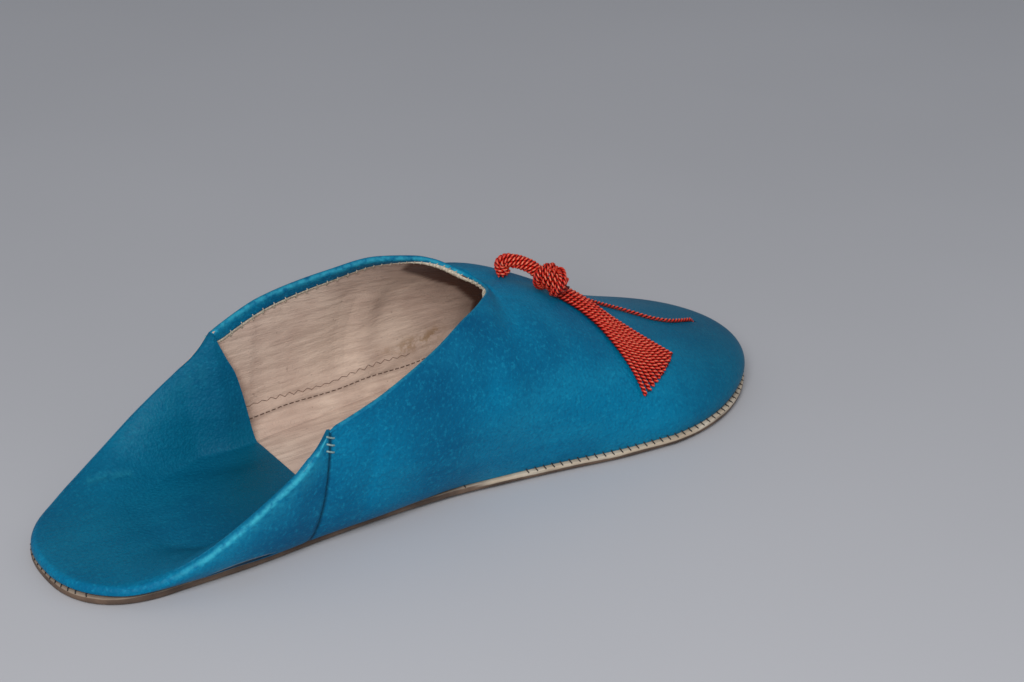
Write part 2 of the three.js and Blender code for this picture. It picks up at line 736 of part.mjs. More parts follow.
// A place on the outside of the vamp under a plan point, lifted off along the surface's normal
function vampFinder(geometry) {
  const vamp = new THREE.Mesh(geometry, new THREE.MeshBasicMaterial());
  const caster = new THREE.Raycaster();
  return (x, y, lift) => {
    caster.set(new THREE.Vector3(x, y, 2 * INSTEP_HEIGHT), new THREE.Vector3(0, 0, -1));
    const hit = caster.intersectObject(vamp)[0];
    return hit.point.clone().addScaledVector(hit.normal, lift);
  };
}

// The knot's own frame: along the fan, across it, and off the vamp
function knotFrame(onVamp) {
  const x = along(KNOT_AT);
  const y = KNOT_ASIDE - halfBall;
  const centre = onVamp(x, y, TASSEL_GAP + KNOT_THICKNESS / 2);
  const up = centre.clone().sub(onVamp(x, y, 0)).normalize();
  const heading = THREE.MathUtils.degToRad(FAN_HEADING);
  const ahead = new THREE.Vector3(Math.cos(heading), Math.sin(heading), 0);
  ahead.addScaledVector(up, -ahead.dot(up)).normalize();
  return new THREE.Matrix4().makeBasis(ahead, up.clone().cross(ahead), up).setPosition(centre);
}

// The knot: a core with two turns of the bundle wound around it
function knotSolid(frame) {
  const flat = KNOT_THICKNESS / KNOT_WIDTH;
  const radius = LOOP_DIAMETER / 2;
  const reach = KNOT_WIDTH / 2 - radius;
  const core = new THREE.SphereGeometry(reach, ...CORE_STEPS).scale(KNOT_LENGTH / KNOT_WIDTH, 1, flat);
  const turn = (lean, shift) => {
    const ring = sampled(TURN_STEPS, (t) => {
      const angle = 2 * Math.PI * t;
      const side = reach * Math.cos(angle);
      return new THREE.Vector3(shift + lean * side, side, flat * reach * Math.sin(angle));
    });
    const path = new THREE.CatmullRomCurve3(ring.slice(0, -1), true);
    return new THREE.TubeGeometry(path, TURN_STEPS, radius * flat, TURN_SIDES, true);
  };
  const turns = [turn(KNOT_LEAN, -KNOT_SPREAD), turn(-KNOT_LEAN, KNOT_SPREAD)];
  const solids = [core, ...turns].map((geometry) => {
    const placed = bare(geometry.applyMatrix4(frame));
    return solidOf(mergeVertices(placed, MERGE_TOLERANCE));
  });
  return wasm.Manifold.union(solids);
}

function bare(geometry) {
  return new THREE.BufferGeometry()
    .setAttribute("position", geometry.getAttribute("position"))
    .setIndex(geometry.index);
}

// Everything that the knot fills, with a little air around it
function knotRoom(solid, frame) {
  const centre = new THREE.Vector3().setFromMatrixPosition(frame);
  const grow = 1 + (2 * TASSEL_GAP) / KNOT_THICKNESS;
  const home = solid.translate([-centre.x, -centre.y, -centre.z]);
  return home.scale(grow).translate([centre.x, centre.y, centre.z]);
}

function loopSolid(onVamp, frame) {
  const foot = new THREE.Vector2(along(LOOP_AT), LOOP_ASIDE - halfBall);
  const knot = new THREE.Vector3().setFromMatrixPosition(frame);
  const way = curve(LOOP, "way");
  const height = curve(LOOP, "height");
  const radius = LOOP_DIAMETER / 2;
  const points = sampled(LOOP_STEPS, (t) => {
    const p = foot.clone().lerp(new THREE.Vector2(knot.x, knot.y), way(t));
    const lift = TASSEL_GAP + radius * LOOP_FOOT_LIFT;
    return onVamp(p.x, p.y, lift).add(new THREE.Vector3(0, 0, height(t) * LOOP_HEIGHT));
  });
  return solidOf(tube(points, radius, LOOP_SIDES));
}

// Cords side by side that fan out from the knot, stacked where they are close together
function fanSolid(onVamp) {
  const heading = THREE.MathUtils.degToRad(FAN_HEADING);
  const ahead = new THREE.Vector2(Math.cos(heading), Math.sin(heading));
  const left = new THREE.Vector2(-ahead.y, ahead.x);
  const start = new THREE.Vector2(along(FAN_AT), FAN_ASIDE - halfBall);
  const near = curve(FAN, "near");
  const far = curve(FAN, "far");
  const stack = curve(FAN, "stack");
  const cords = sampled(FAN_CORDS - 1, (s) => {
    const layer = Math.round(s * (FAN_CORDS - 1)) % FAN_LAYERS;
    const length = FAN_LENGTH * (1 - FAN_SLANT * (1 - s) ** 2);
    const points = sampled(FAN_STEPS, (t) => {
      const aside = FAN_HALF_WIDTH * THREE.MathUtils.lerp(near(t), far(t), s);
      const p = start.clone().addScaledVector(ahead, t * length).addScaledVector(left, aside);
      const lift = TASSEL_GAP + CORD_DIAMETER * (0.5 + layer * stack(t) * FAN_NESTING);
      return onVamp(p.x, p.y, lift);
    });
    return solidOf(tube(points, CORD_DIAMETER / 2, CORD_SIDES));
  });
  return wasm.Manifold.union(cords);
}

function toeCordSolid(onVamp) {
  const across = curve(TOE_CORD, "across");
  const from = TOE_CORD[0].at;
  const to = TOE_CORD[TOE_CORD.length - 1].at;
  const points = sampled(TOE_CORD_STEPS, (t) => {
    const at = THREE.MathUtils.lerp(from, to, t);
    return onVamp(along(at), halfBall * across(at), TASSEL_GAP + TOE_CORD_DIAMETER / 2);
  });
  return solidOf(tube(points, TOE_CORD_DIAMETER / 2, CORD_SIDES));
}

function leather(color, roughness) {
  return new THREE.MeshStandardMaterial({ color, roughness, metalness: 0 });
}

function piece(name, geometry, material) {
  const mesh = new THREE.Mesh(geometry, material);
  mesh.name = name;
  return mesh;
}

const slipper = new THREE.Group();
const soleTop = (x, y) => soleBottom(x, y) + SOLE_THICKNESS;
const insoleMargin = FOOT_MARGIN + WALL + INSOLE_CLEARANCE;
slipper.add(piece("outsole", plate(0, soleBottom, soleTop), leather(0xb8a48c, 0.8)));
slipper.add(piece("insole", plate(insoleMargin, seat, insoleTop), leather(0xc8ad98, 0.85)));
const upper = upperGeometry();
slipper.add(piece("upper", upper.closed, leather(0x0a6c94, 0.5)));
const onVamp = vampFinder(upper.outer);
const frame = knotFrame(onVamp);
const knot = knotSolid(frame);
const room = knotRoom(knot, frame);
const cords = {
  tassel_loop: loopSolid(onVamp, frame).subtract(room),
  tassel_knot: knot,
  tassel_fan: fanSolid(onVamp).subtract(room),
  toe_cord: toeCordSolid(onVamp),
};
for (const [name, solid] of Object.entries(cords)) {
  slipper.add(piece(name, geometryOf(solid), leather(0xbe1e0a, 0.6)));
}

export default slipper;
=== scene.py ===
import math

import bpy
import numpy as np
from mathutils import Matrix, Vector


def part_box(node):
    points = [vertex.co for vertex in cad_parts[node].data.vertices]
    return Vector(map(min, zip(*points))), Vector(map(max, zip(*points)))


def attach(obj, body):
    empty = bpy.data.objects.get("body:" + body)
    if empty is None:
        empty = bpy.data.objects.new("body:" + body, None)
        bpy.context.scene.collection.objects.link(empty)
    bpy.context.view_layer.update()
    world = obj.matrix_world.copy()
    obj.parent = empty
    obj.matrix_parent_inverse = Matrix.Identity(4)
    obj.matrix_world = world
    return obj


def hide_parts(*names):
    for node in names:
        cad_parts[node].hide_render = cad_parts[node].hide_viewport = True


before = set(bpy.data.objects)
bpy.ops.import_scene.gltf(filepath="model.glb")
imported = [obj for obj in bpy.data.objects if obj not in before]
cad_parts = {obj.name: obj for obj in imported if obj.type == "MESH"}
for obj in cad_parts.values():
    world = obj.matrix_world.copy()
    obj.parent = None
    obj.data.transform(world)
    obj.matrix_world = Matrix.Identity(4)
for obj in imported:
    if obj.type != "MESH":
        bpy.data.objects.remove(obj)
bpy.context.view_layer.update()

bl_info = {
    "name": "Babouche slipper",
    "version": (1, 0, 0),
    "blender": (4, 5, 0),
    "location": "3D View > Sidebar > Slipper",
    "description": "Builds a dyed leather slipper with a trodden heel and a corded tassel",
    "category": "Add Mesh",
}

MM = 0.001
NEAR = -1
FAR = 1
UP = np.array([0, 0, 1.0])

# Sizes of the shoe in millimetres
sole_low, sole_high = (np.array(corner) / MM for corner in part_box("outsole"))
LENGTH = sole_high[0] - sole_low[0]
BALL_WIDTH = sole_high[1] - sole_low[1]
HEEL_WIDTH = 59.4
SOLE_THICKNESS = 2.3
INSOLE_THICKNESS = 1
SEAT_GAP = 0.25
EDGE_CURL = 1.2
WAIST_RISE = 0.8
TOE_SPRING = 2.2
WALL = 1.5
INSTEP_HEIGHT = 60
SEAM_HEIGHT = 43
COLLAR_WIDTH = 79.4
RIDGE_WIDTH = 80.4
FOLD_RADIUS = 2.1
FOOT_MARGIN = 1.6
INSOLE_TUCK = 0.9
PATCH_HEIGHT = 9.0
BULGE = 9.5
HEEL_FOLD_HEIGHT = 6
SEAM_OFFSET = 6
CORNER_TURN = math.radians(37)
FLAP_EASE = 1.3
INSTEP_SQUAT = 0.9
THROAT_DIP = 0.17
SEAM_PINCH = 0.033
FLANK_FRONT = 10.5
FLANK_BACK = 21
FLANK_FULLNESS = 1.2
FLAT_SHARE = 0.45

# Places along the shoe, as shares of its length from the heel
HEEL_ARC_AT = 0.121
TOE_ARC_AT = 0.789
SEAM_FOOT_AT = 0.277
SEAM_TOP_AT = 0.301
THROAT_AT = 0.6035
SPINE_END_AT = 0.86
FLAP_EDGE_AT = 0.336
RIDGE_ARC_AT = 0.258
COLLAR_ARC_AT = 0.363

# Roundness of the arcs in plan: 2 is an ellipse, more is squarer
HEEL_ROUNDNESS = 2.45
TOE_ROUNDNESS = 2
RIDGE_ROUNDNESS = 2.35
THROAT_ROUNDNESS = 1.35

# Half width of the sole, as the share of the way from heel width to ball width on each side
OUTLINE = {
    "at": (0.121, 0.207, 0.305, 0.383, 0.48, 0.559, 0.637, 0.715, 0.789),
    "near": (0, 0.06, 0.02, 0.03, 0.11, 0.312, 0.551, 0.841, 1),
    "far": (0, 0.065, 0.094, 0.19, 0.39, 0.6, 0.804, 0.949, 1),
}

# Underside of the sole: shares of the waist rise, the toe spring and the curl of its edge
UNDERSIDE = {
    "at": (0, 0.13, 0.22, 0.34, 0.45, 0.56, 0.68, 0.8, 0.88, 0.94, 1),
    "waist": (0, 0, 0, 0.6, 1, 0.5, 0, 0, 0, 0, 0),
    "toe": (0, 0, 0, 0, 0, 0, 0, 0, 0.1, 0.45, 1),
    "curl": (0.3, 0.5, 0.6, 0.6, 0.5, 0.6, 0.7, 0.8, 0.9, 1, 0.8),
}

# Top of the wall: collar from the side seam to the throat, then the spine of the vamp
TOP_LINE = {
    "at": (0.301, 0.383, 0.461, 0.52, 0.559, 0.576, 0.59, 0.6035,
           0.63, 0.656, 0.715, 0.773, 0.82, 0.86, 0.88),
    "height": (0, 0.44, 0.765, 0.976, 0.985, 0.94, 0.85, 0.745,
               0.66, 0.53, 0.1, -0.4, -0.75, -1, -1.13),
}

# Ridge of the trodden heel, as the share of the way from the heel fold to the side seam
RIDGE_LINE = {
    "at": (0, 0.05, 0.09, 0.133, 0.188, 0.227, 0.266, 0.286, 0.301),
    "height": (0, 0.01, 0.08, 0.21, 0.433, 0.6, 0.77, 0.88, 1),
}

# Bend of the wall between foot and top
WALL_BEND = {
    "at": (0, 0.07, 0.16, 0.301, 0.383, 0.461, 0.53, 0.6035, 0.68, 0.789, 0.9, 1),
    "margin": (1, 0.7, 0.15, 0.15, 0.15, 0.3, 0.6, 1, 1, 1, 1, 1),
    "bulge": (0.02, 0.1, 0.45, 0.9, 1.15, 1.2, 1.22, 1.3, 0.9, 0.64, 0.82, 1.05),
    "belly": (0.3, 0.25, 0.08, 0.02, 0.02, 0.06, 0.24, 0.55, 0.52, 0.46, 0.42, 0.4),
    "reach": (0.45, 0.45, 0.45, 0.43, 0.41, 0.39, 0.42, 0.52, 0.46, 0.4, 0.38, 0.38),
    "dip": (0, 0, 0, 0, 0, 0, 0.25, 0.7, 0.3, 0, 0, 0),
}

# Free edge of the trodden quarter, from the middle of the insole to the side seam
FLAP_EDGE = {
    "at": (0, 0.14, 0.28, 0.42, 0.57, 0.71, 0.86, 1),
    "way": (0, 0, 0.02, 0.12, 0.34, 0.64, 0.88, 1),
    "across": (0, 0.3, 0.58, 0.735, 0.82, 0.86, 0.905, 0.967),
}

# Tassel: sizes in millimetres, places as shares of the length and in millimetres from the middle
CORD_DIAMETER = 1.6
LOOP_DIAMETER = 3.4
LACE_DIAMETER = 1.4
TASSEL_GAP = 0.3
KNOT_LENGTH = 13
KNOT_WIDTH = 12
KNOT_THICKNESS = 9.6
KNOT_LEAN = 0.42
KNOT_SPREAD = 2
KNOT_AT = 0.6816
KNOT_ASIDE = -8
LOOP_AT = 0.6434
LOOP_ASIDE = 1.5
LOOP_HEIGHT = 6
LOOP_FOOT_LIFT = 0.45
FAN_CORDS = 11
FAN_AT = 0.696
FAN_ASIDE = -8.2
FAN_LENGTH = 37
FAN_HALF_WIDTH = 11
FAN_HEADING = math.radians(-46.7)
FAN_SLANT = 0.14
FAN_LAYERS = 3
FAN_NESTING = 0.8
LOOP_CORDS = 7
LOOP_RADIUS = 1.6
KNOT_CORDS = 4
KNOT_CORD_DIAMETER = 1.4
KNOT_TURN_RADIUS = 0.85
CORE_TURNS = 7
CORE_POINTS = 700
CORE_CORD_DIAMETER = 1.5
LOOP_STEP = 0.26
KNOT_STEP = 0.27

# Edges of the fan across its heading, as shares of its half width, and how far its cords are stacked
FAN = {
    "at": (0, 0.2, 0.4, 0.6, 0.8, 1),
    "near": (-0.15, -0.08, -0.16, -0.4, -0.68, -1),
    "far": (0.15, 0.5, 0.73, 0.85, 0.91, 0.96),
    "stack": (1, 0.8, 0.5, 0.25, 0.08, 0),
}

# The cord that runs on to the toe: its way across the vamp as a share of the ball's half width
TOE_CORD = {
    "at": (0.725, 0.77, 0.805, 0.832, 0.857, 0.884, 0.917, 0.935),
    "across": (-0.04, -0.05, -0.06, -0.1, -0.157, -0.186, -0.15, -0.114),
}

# The loop, from its foot to the knot: share of the way in plan, and share of the loop's height
LOOP = {
    "at": (0, 0.2, 0.45, 0.7, 1),
    "way": (0, -0.06, 0.14, 0.44, 0.78),
    "height": (0, 0.5, 0.96, 0.98, 0.72),
}

# Soft troughs and ridges of the worn leather, each along a line from one place to another:
# share of the length, share of the ball's half width, share of the instep height, then the
# crease's width and depth in millimetres, where a ridge has a negative depth
CREASES = (
    ((0.118, 0.64, 0.17), (0.16, 0.57, 0.155), 1.3, 0.4),
    ((0.125, 0.56, 0.155), (0.175, 0.5, 0.14), 1.6, -0.25),
    ((0.17, 0.62, 0.22), (0.29, 0.42, 0.1), 4.5, 0.7),
    ((0.2, 0.76, 0.36), (0.3, 0.66, 0.28), 4, -0.55),
    ((0.1, -0.3, 0.1), (0.26, -0.22, 0.09), 7, 0.45),
    ((0.13, -0.62, 0.16), (0.26, -0.6, 0.2), 3.6, 0.6),
    ((0.18, 0.1, 0.09), (0.3, 0.25, 0.09), 5, -0.4),
    ((0.36, -0.93, 0.3), (0.47, -0.95, 0.16), 6, 0.7),
    ((0.31, -0.92, 0.34), (0.38, -0.9, 0.14), 4.5, -0.4),
    ((0.5, -0.94, 0.34), (0.6, -0.9, 0.2), 7, 0.6),
    ((0.62, -0.8, 0.56), (0.66, -0.9, 0.3), 6, -0.5),
    ((0.7, -0.75, 0.42), (0.74, -0.88, 0.24), 6, 0.55),
    ((0.58, -0.5, 0.86), (0.63, -0.3, 0.84), 5, 0.35),
    ((0.84, -0.3, 0.4), (0.9, 0.25, 0.32), 7, 0.35),
    ((0.37, 0.93, 0.34), (0.48, 0.96, 0.18), 6, 0.6),
    ((0.56, 0.95, 0.3), (0.66, 0.9, 0.4), 7, 0.5),
    ((0.73, 0.8, 0.36), (0.79, 0.92, 0.2), 6, -0.4),
)

# Marks on the leather, each along a line in millimetres: its ends, its width and its strength
# The streak and the glow on the flap are painted highlights
FLAP_STREAK_HIGHLIGHT = ((-99, 28.5, 10.4), (-88, 25.5, 9.4), 1.6, 0.22)
FLAP_HIGHLIGHT = ((-82, 33, 18), (-58, 35.5, 31), 5, 0.1)
# Painted shade in a patch across the middle of the flap
FLAP_SHADE_PATCH = ((-52, 12, 6), (-60, -4, 6), 17, 0.45)
LINING_FOLDS = (
    ((9.8, 40, 40), (5, 41.5, 14), 5.5, 0.9),
    ((1, 39, 42), (-2, 41, 16), 6, -0.7),
    ((-30, 41, 40), (-24, 42, 18), 8, 0.5),
)
STAINS = (
    ((22, 41, 15.5), (36, 42.5, 17), 2.6, 1),
    ((12, 40, 17), (18, 40, 15), 1.8, 0.6),
)

# The hole that takes the end of the toe cord, as shares of the length and of the ball's half width
TOE_HOLE = (0.935, -0.114)

# The crescent low on the near side of the heel where the wall has come off the sole
LIFT_FROM_AT = 0.14
LIFT_TO_AT = 0.235
LIFT_HEIGHT = 2.9
LIFT_BAND = 0.3

# Rows and columns of the upper's surface
HEEL_ROWS = 84
COLLAR_ROWS = 84
VAMP_ROWS = 56
TOE_ROWS = 46
WALL_STEPS = 50
FOLD_STEPS = 6
FLAP_STEPS = 44

# Share of the heel's rows over which fold and wall grow thin towards the corner, and how thin
CORNER_FADE = 1 / 14
SQUEEZED = 0.2

# Rows on each side of the throat that are eased, and how many times
EASE_ROWS = 15
EASE_ROUNDS = 60

# Depth of the groove at a side seam, of the toe hole, of the lifted crescent and of the flap's
# swells, and the gap between the dyed leather and the lining
SEAM_GROOVE = 0.3
HOLE_DEPTH = 0.5
LIFT_DEPTH = 0.55
FLAP_SWELL = 0.12
LINING_GAP = 0.25

# Rounding of the plates' edges, and the step along the collar's pieces
SOLE_ROUNDING = 0.45
INSOLE_ROUNDING = 0.1
COLLAR_STEP = 0.7

# Threads in millimetres: their radii, then the lie of each row of stitches
THREAD_SIDES = 6
ZIGZAG_RADIUS = 0.12
RUNNING_RADIUS = 0.17
WHIP_RADIUS = 0.18
SOLE_THREAD_RADIUS = 0.2
TACK_RADIUS = 0.3
PATCH_WAVE = 0.3
PATCH_SLOPE = 0.02
PATCH_ASIDE = 38.5
ZIGZAG_LENGTH = 3.4
ZIGZAG_HEIGHT = 12.2
RUNNING_PITCH = 2.3
RUNNING_STITCH = 1.5
TACK_HEIGHTS = (41.3, 38.9, 36.6)
TACK_REACH = 1.25
TACK_SLANT = 0.6
TACK_ARCH = 0.5
WHIP_STEP = 0.35
WHIP_PITCH = 2.1
SPARSE_PITCHES = 14
CLOSE_FROM_X = 20
CLOSE_TO_U = 0.38

HALF_BALL = BALL_WIDTH / 2
HALF_HEEL = HEEL_WIDTH / 2
HALF_COLLAR = COLLAR_WIDTH / 2
HALF_RIDGE = RIDGE_WIDTH / 2


def shade(red, green, blue):
    """Linear colour of an 8-bit screen colour."""
    def channel(value):
        share = value / 255
        return share / 12.92 if share <= 0.04045 else ((share + 0.055) / 1.055) ** 2.4
    return (channel(red), channel(green), channel(blue))


def along(share):
    return (share - 0.5) * LENGTH


def share_at(x):
    return x / LENGTH + 0.5


HEEL_ARC_X = along(HEEL_ARC_AT)
TOE_ARC_X = along(TOE_ARC_AT)
HEEL_REACH = HEEL_ARC_X - along(0)
TOE_REACH = along(1) - TOE_ARC_X
SEAM_TOP_X = along(SEAM_TOP_AT)
THROAT_X = along(THROAT_AT)
RIDGE_ARC_X = along(RIDGE_ARC_AT)
RIDGE_REACH = RIDGE_ARC_X - along(0)


def curve(table, column):
    """A smooth line through a table's column: cubic pieces whose slope at a row is the harmonic
    mean of the slopes beside it, so that it never swings past its rows."""
    at = np.array(table["at"], float)
    value = np.array(table[column], float)
    slope = np.diff(value) / np.diff(at)
    before, after = slope[:-1], slope[1:]
    steady = before * after > 0
    tangent = np.empty_like(value)
    tangent[0], tangent[-1] = slope[0], slope[-1]
    tangent[1:-1] = np.where(steady, 2 * before * after / np.where(steady, before + after, 1), 0)

    def read(where):
        v = np.clip(where, at[0], at[-1])
        i = np.clip(np.searchsorted(at, v, side="right") - 1, 0, len(slope) - 1)
        span = at[i + 1] - at[i]
        t = (v - at[i]) / span
        a, b = value[i], value[i + 1]
        start, end = tangent[i] * span, tangent[i + 1] * span
        return a + t * (start + t * (3 * (b - a) - 2 * start - end + t * (2 * (a - b) + start + end)))

    return read


def curves(table):
    """A smooth line through every column of a table."""
    return {column: curve(table, column) for column in table if column != "at"}


outline = curves(OUTLINE)
underside = curves(UNDERSIDE)
top_line = curves(TOP_LINE)
ridge_line = curves(RIDGE_LINE)
flap_edge = curves(FLAP_EDGE)
bend = curves(WALL_BEND)
fan_edge = curves(FAN)
toe_way = curves(TOE_CORD)
loop_way = curves(LOOP)


def unit(vectors):
    """Vectors scaled to length one."""
    return vectors / np.maximum(np.linalg.norm(vectors, axis=-1, keepdims=True), 1e-12)


def lerp(a, b, share):
    return a + (b - a) * share


def smooth(values, low, high):
    """Rises from 0 at low to 1 at high along a cubic with level ends."""
    t = np.clip((values - low) / (high - low), 0, 1)
    return t * t * (3 - 2 * t)


def bell(values, width):
    """1 at zero, falling off as a bell curve of that width."""
    return np.exp(-((values / width) ** 2))


def half_width(x, side):
    share = outline["near" if side == NEAR else "far"](share_at(x))
    return lerp(HALF_HEEL, HALF_BALL, share)


def superellipse(a, b, power):
    """Distance from the middle of a superellipse, as a share of the way to its edge."""
    return (a ** power + b ** power) ** (1 / power)


def arc(turn, power):
    """Shares of both half axes of a superellipse at a turn from its end."""
    return np.cos(turn) ** (2 / power), np.sin(turn) ** (2 / power)


def spread(x, y):
    """How far out a plan point lies, 0 on the middle line and 1 on the sole's edge: a superellipse
    at the heel and the toe, and the share of the half width between them."""
    half = np.where(y < 0, half_width(x, NEAR), half_width(x, FAR))
    back = np.maximum(HEEL_ARC_X - x, 0) / HEEL_REACH
    front = np.maximum(x - TOE_ARC_X, 0) / TOE_REACH
    heel = superellipse(back, np.abs(y) / HALF_HEEL, HEEL_ROUNDNESS)
    toe = superellipse(front, np.abs(y) / HALF_BALL, TOE_ROUNDNESS)
    return np.where(x < HEEL_ARC_X, heel, np.where(x > TOE_ARC_X, toe, np.abs(y) / half))


def sole_bottom(x, y):
    """Waist rise and toe spring along the shoe, plus a curl that grows with the square of the
    distance beyond the flat middle."""
    share = share_at(x)
    rise = WAIST_RISE * underside["waist"](share) + TOE_SPRING * underside["toe"](share)
    dish = np.maximum(0, (spread(x, y) - FLAT_SHARE) / (1 - FLAT_SHARE)) ** 2
    return rise + EDGE_CURL * underside["curl"](share) * dish


def sole_top(x, y):
    return sole_bottom(x, y) + SOLE_THICKNESS


def seat(x, y):
    return sole_top(x, y) + SEAT_GAP


def insole_top(x, y):
    return seat(x, y) + INSOLE_THICKNESS


def edge_point(u, side):
    """Sole edge in plan: the heel's superellipse for u from 0 to 1, the side from 1 to 2 and the
    toe's superellipse from 2 to 3."""
    back, heel_out = arc(np.clip(u, 0, 1) * np.pi / 2, HEEL_ROUNDNESS)
    toe_out, front = arc(np.clip(u - 2, 0, 1) * np.pi / 2, TOE_ROUNDNESS)
    side_x = lerp(HEEL_ARC_X, TOE_ARC_X, np.clip(u - 1, 0, 1))
    cases = [u < 1, u > 2]
    x = np.select(cases, [HEEL_ARC_X - HEEL_REACH * back, TOE_ARC_X + TOE_REACH * front], side_x)
    y = np.select(cases, [HALF_HEEL * heel_out, HALF_BALL * toe_out], half_width(side_x, side))
    return np.stack([x, side * y], axis=-1)


def edge_normal(u, side):
    """Outward normal of the sole's edge in plan, across the step from just behind to just ahead."""
    step = 0.002
    a = edge_point(np.clip(u - step, 0, 3), side)
    b = edge_point(np.clip(u + step, 0, 3), side)
    normal = unit(np.stack([side * (a[..., 1] - b[..., 1]), side * (b[..., 0] - a[..., 0])], axis=-1))
    normal = np.where((u <= 0)[..., None], np.array([-1.0, 0.0]), normal)
    return np.where((u >= 3)[..., None], np.array([1.0, 0.0]), normal)


def foot_plan(u, side):
    """The wall's foot: the sole's edge moved inwards by its margin."""
    margin = FOOT_MARGIN * bend["margin"](share_at(edge_point(u, side)[..., 0]))
    return edge_point(u, side) - edge_normal(u, side) * margin[..., None]


def raised(plan, height):
    """Points in plan with a height: a number, an array or a function of x and y."""
    if callable(height):
        height = height(plan[..., 0], plan[..., 1])
    return np.concatenate([plan, np.broadcast_to(height, plan.shape[:-1])[..., None]], axis=-1)


def side_share(x):
    return 1 + (x - HEEL_ARC_X) / (TOE_ARC_X - HEEL_ARC_X)


def rail(points):
    """A line through points, read at shares of its own length."""
    length = np.concatenate([[0], np.cumsum(np.linalg.norm(np.diff(points, axis=0), axis=1))])

    def read(share):
        want = np.asarray(share) * length[-1]
        return np.stack([np.interp(want, length, column) for column in points.T], axis=-1)

    return read


def top_height(x):
    return lerp(SEAM_HEIGHT, INSTEP_HEIGHT, top_line["height"](share_at(x)))


def ridge_height(x):
    return lerp(HEEL_FOLD_HEIGHT, SEAM_HEIGHT, ridge_line["height"](share_at(x)))


def collar_half(x):
    """Half width of the collar: pinched at the seam by a parabola, round at the throat."""
    arc_x = along(COLLAR_ARC_AT)
    pinch = 1 - SEAM_PINCH * (np.maximum(arc_x - x, 0) / (arc_x - SEAM_TOP_X)) ** 2
    share = np.clip((x - arc_x) / (THROAT_X - arc_x), 0, 1)
    return HALF_COLLAR * np.where(x < arc_x, pinch, np.sqrt(1 - share ** THROAT_ROUNDNESS))


def collar_lean(x):
    """Lean of the wall from upright at the collar, as on an ellipse that the collar cuts."""
    turn = np.arccos(np.clip(collar_half(x) / HALF_COLLAR, 0, 1))
    return np.where(x < along(COLLAR_ARC_AT), 0, np.arctan(INSTEP_SQUAT * np.tan(turn)))


def ridge_plan(side):
    """The ridge in plan: a quarter of a superellipse and then a line to the seam."""
    back, out = arc(np.linspace(0, np.pi / 2, 300), RIDGE_ROUNDNESS)
    line = np.stack([RIDGE_ARC_X - RIDGE_REACH * back, side * HALF_RIDGE * out], axis=-1)
    return np.concatenate([line, [[SEAM_TOP_X, side * float(collar_half(SEAM_TOP_X))]]])


def ridge_depth(x, y):
    """How far inside the ridge's fold a plan point lies."""
    half = HALF_RIDGE - FOLD_RADIUS
    back = np.maximum(RIDGE_ARC_X - x, 0) / (RIDGE_REACH - FOLD_RADIUS)
    out = superellipse(back, np.abs(y) / half, RIDGE_ROUNDNESS)
    pinch = np.clip((x - RIDGE_ARC_X) / (SEAM_TOP_X - RIDGE_ARC_X), 0, 1)
    here = lerp(half, collar_half(SEAM_TOP_X) - FOLD_RADIUS, pinch)
    return np.maximum(0, np.where(x < RIDGE_ARC_X, (1 - out) * half, here - np.abs(y)))


def flap_height(x, y):
    """The trodden quarter: level on the insole, with flanks that rise to the ridge along a cubic."""
    rest = insole_top(x, y) + SEAT_GAP + WALL
    back = np.clip((RIDGE_ARC_X - x) / (RIDGE_ARC_X - HEEL_ARC_X), 0, 1)
    u = np.minimum(1, ridge_depth(x, y) / lerp(FLANK_FRONT, FLANK_BACK, back))
    fall = (1 - u) ** 2 * (1 + FLANK_FULLNESS * u)
    return rest + np.maximum(0, ridge_height(x) - rest) * fall


def wall_rows(foot, normal, top, at, upright, slope, steps):
    """Walls from foot to top, one a row: a cubic Bezier curve whose first control point bulges out
    from the foot and whose second leaves the top at the wall's lean."""
    lean = upright * (1 + THROAT_DIP * bend["dip"](at))
    out = raised(normal, 0)
    rise = top[:, 2] - foot[:, 2]
    first = foot + out * (BULGE * bend["bulge"](at))[:, None]
    first[:, 2] += bend["belly"](at) * rise
    inwards = np.hypot(top[:, 0] - foot[:, 0], top[:, 1] - foot[:, 1]) * np.sin(lean)
    reach = bend["reach"](at) * np.hypot(rise, inwards)
    second = top + out * (reach * np.sin(lean))[:, None]
    second[:, 2] += slope * (second[:, 0] - top[:, 0]) - reach * np.cos(lean)
    t = np.linspace(0, 1, steps + 1)[None, :, None]
    s = 1 - t
    first, second = first[:, None], second[:, None]
    return foot[:, None] * s**3 + first * 3 * s * s * t + second * 3 * s * t * t + top[:, None] * t**3


def front_rows(side):
    """The wall from the side seam to the toe: collar rows, then rows up to the spine of the vamp."""
    step = np.arange(COLLAR_ROWS + 1) / COLLAR_ROWS
    foot_x = lerp(along(SEAM_FOOT_AT), THROAT_X, step)
    back = THROAT_X - foot_x
    x = np.maximum(SEAM_TOP_X, THROAT_X - (back - SEAM_OFFSET * (1 - np.exp(-back / SEAM_OFFSET))))
    u = side_share(foot_x)
    top = np.stack([x, side * collar_half(x), top_height(x)], axis=-1)
    collar = wall_rows(raised(foot_plan(u, side), seat), edge_normal(u, side), top, share_at(x),
                       collar_lean(x), 0, WALL_STEPS)
    vamp_step = np.arange(1, VAMP_ROWS + 1) / VAMP_ROWS
    toe_step = np.arange(1, TOE_ROWS + 1) / TOE_ROWS
    u = np.concatenate([lerp(side_share(THROAT_X), 2, vamp_step), 2 + toe_step])
    foot = raised(foot_plan(u, side), seat)
    spine_x = np.concatenate([
        lerp(THROAT_X, TOE_ARC_X, vamp_step),
        lerp(TOE_ARC_X, along(SPINE_END_AT), np.sin(toe_step * np.pi / 2)),
    ])
    at = np.where(u <= 2, share_at(spine_x), share_at(foot[:, 0]))
    slope = top_height(spine_x + 0.5) - top_height(spine_x - 0.5)
    top = np.stack([spine_x, np.zeros_like(spine_x), top_height(spine_x)], axis=-1)
    vamp = wall_rows(foot, edge_normal(u, side), top, at, np.full(len(u), np.pi / 2), slope, WALL_STEPS)
    return eased(np.concatenate([collar, vamp]))


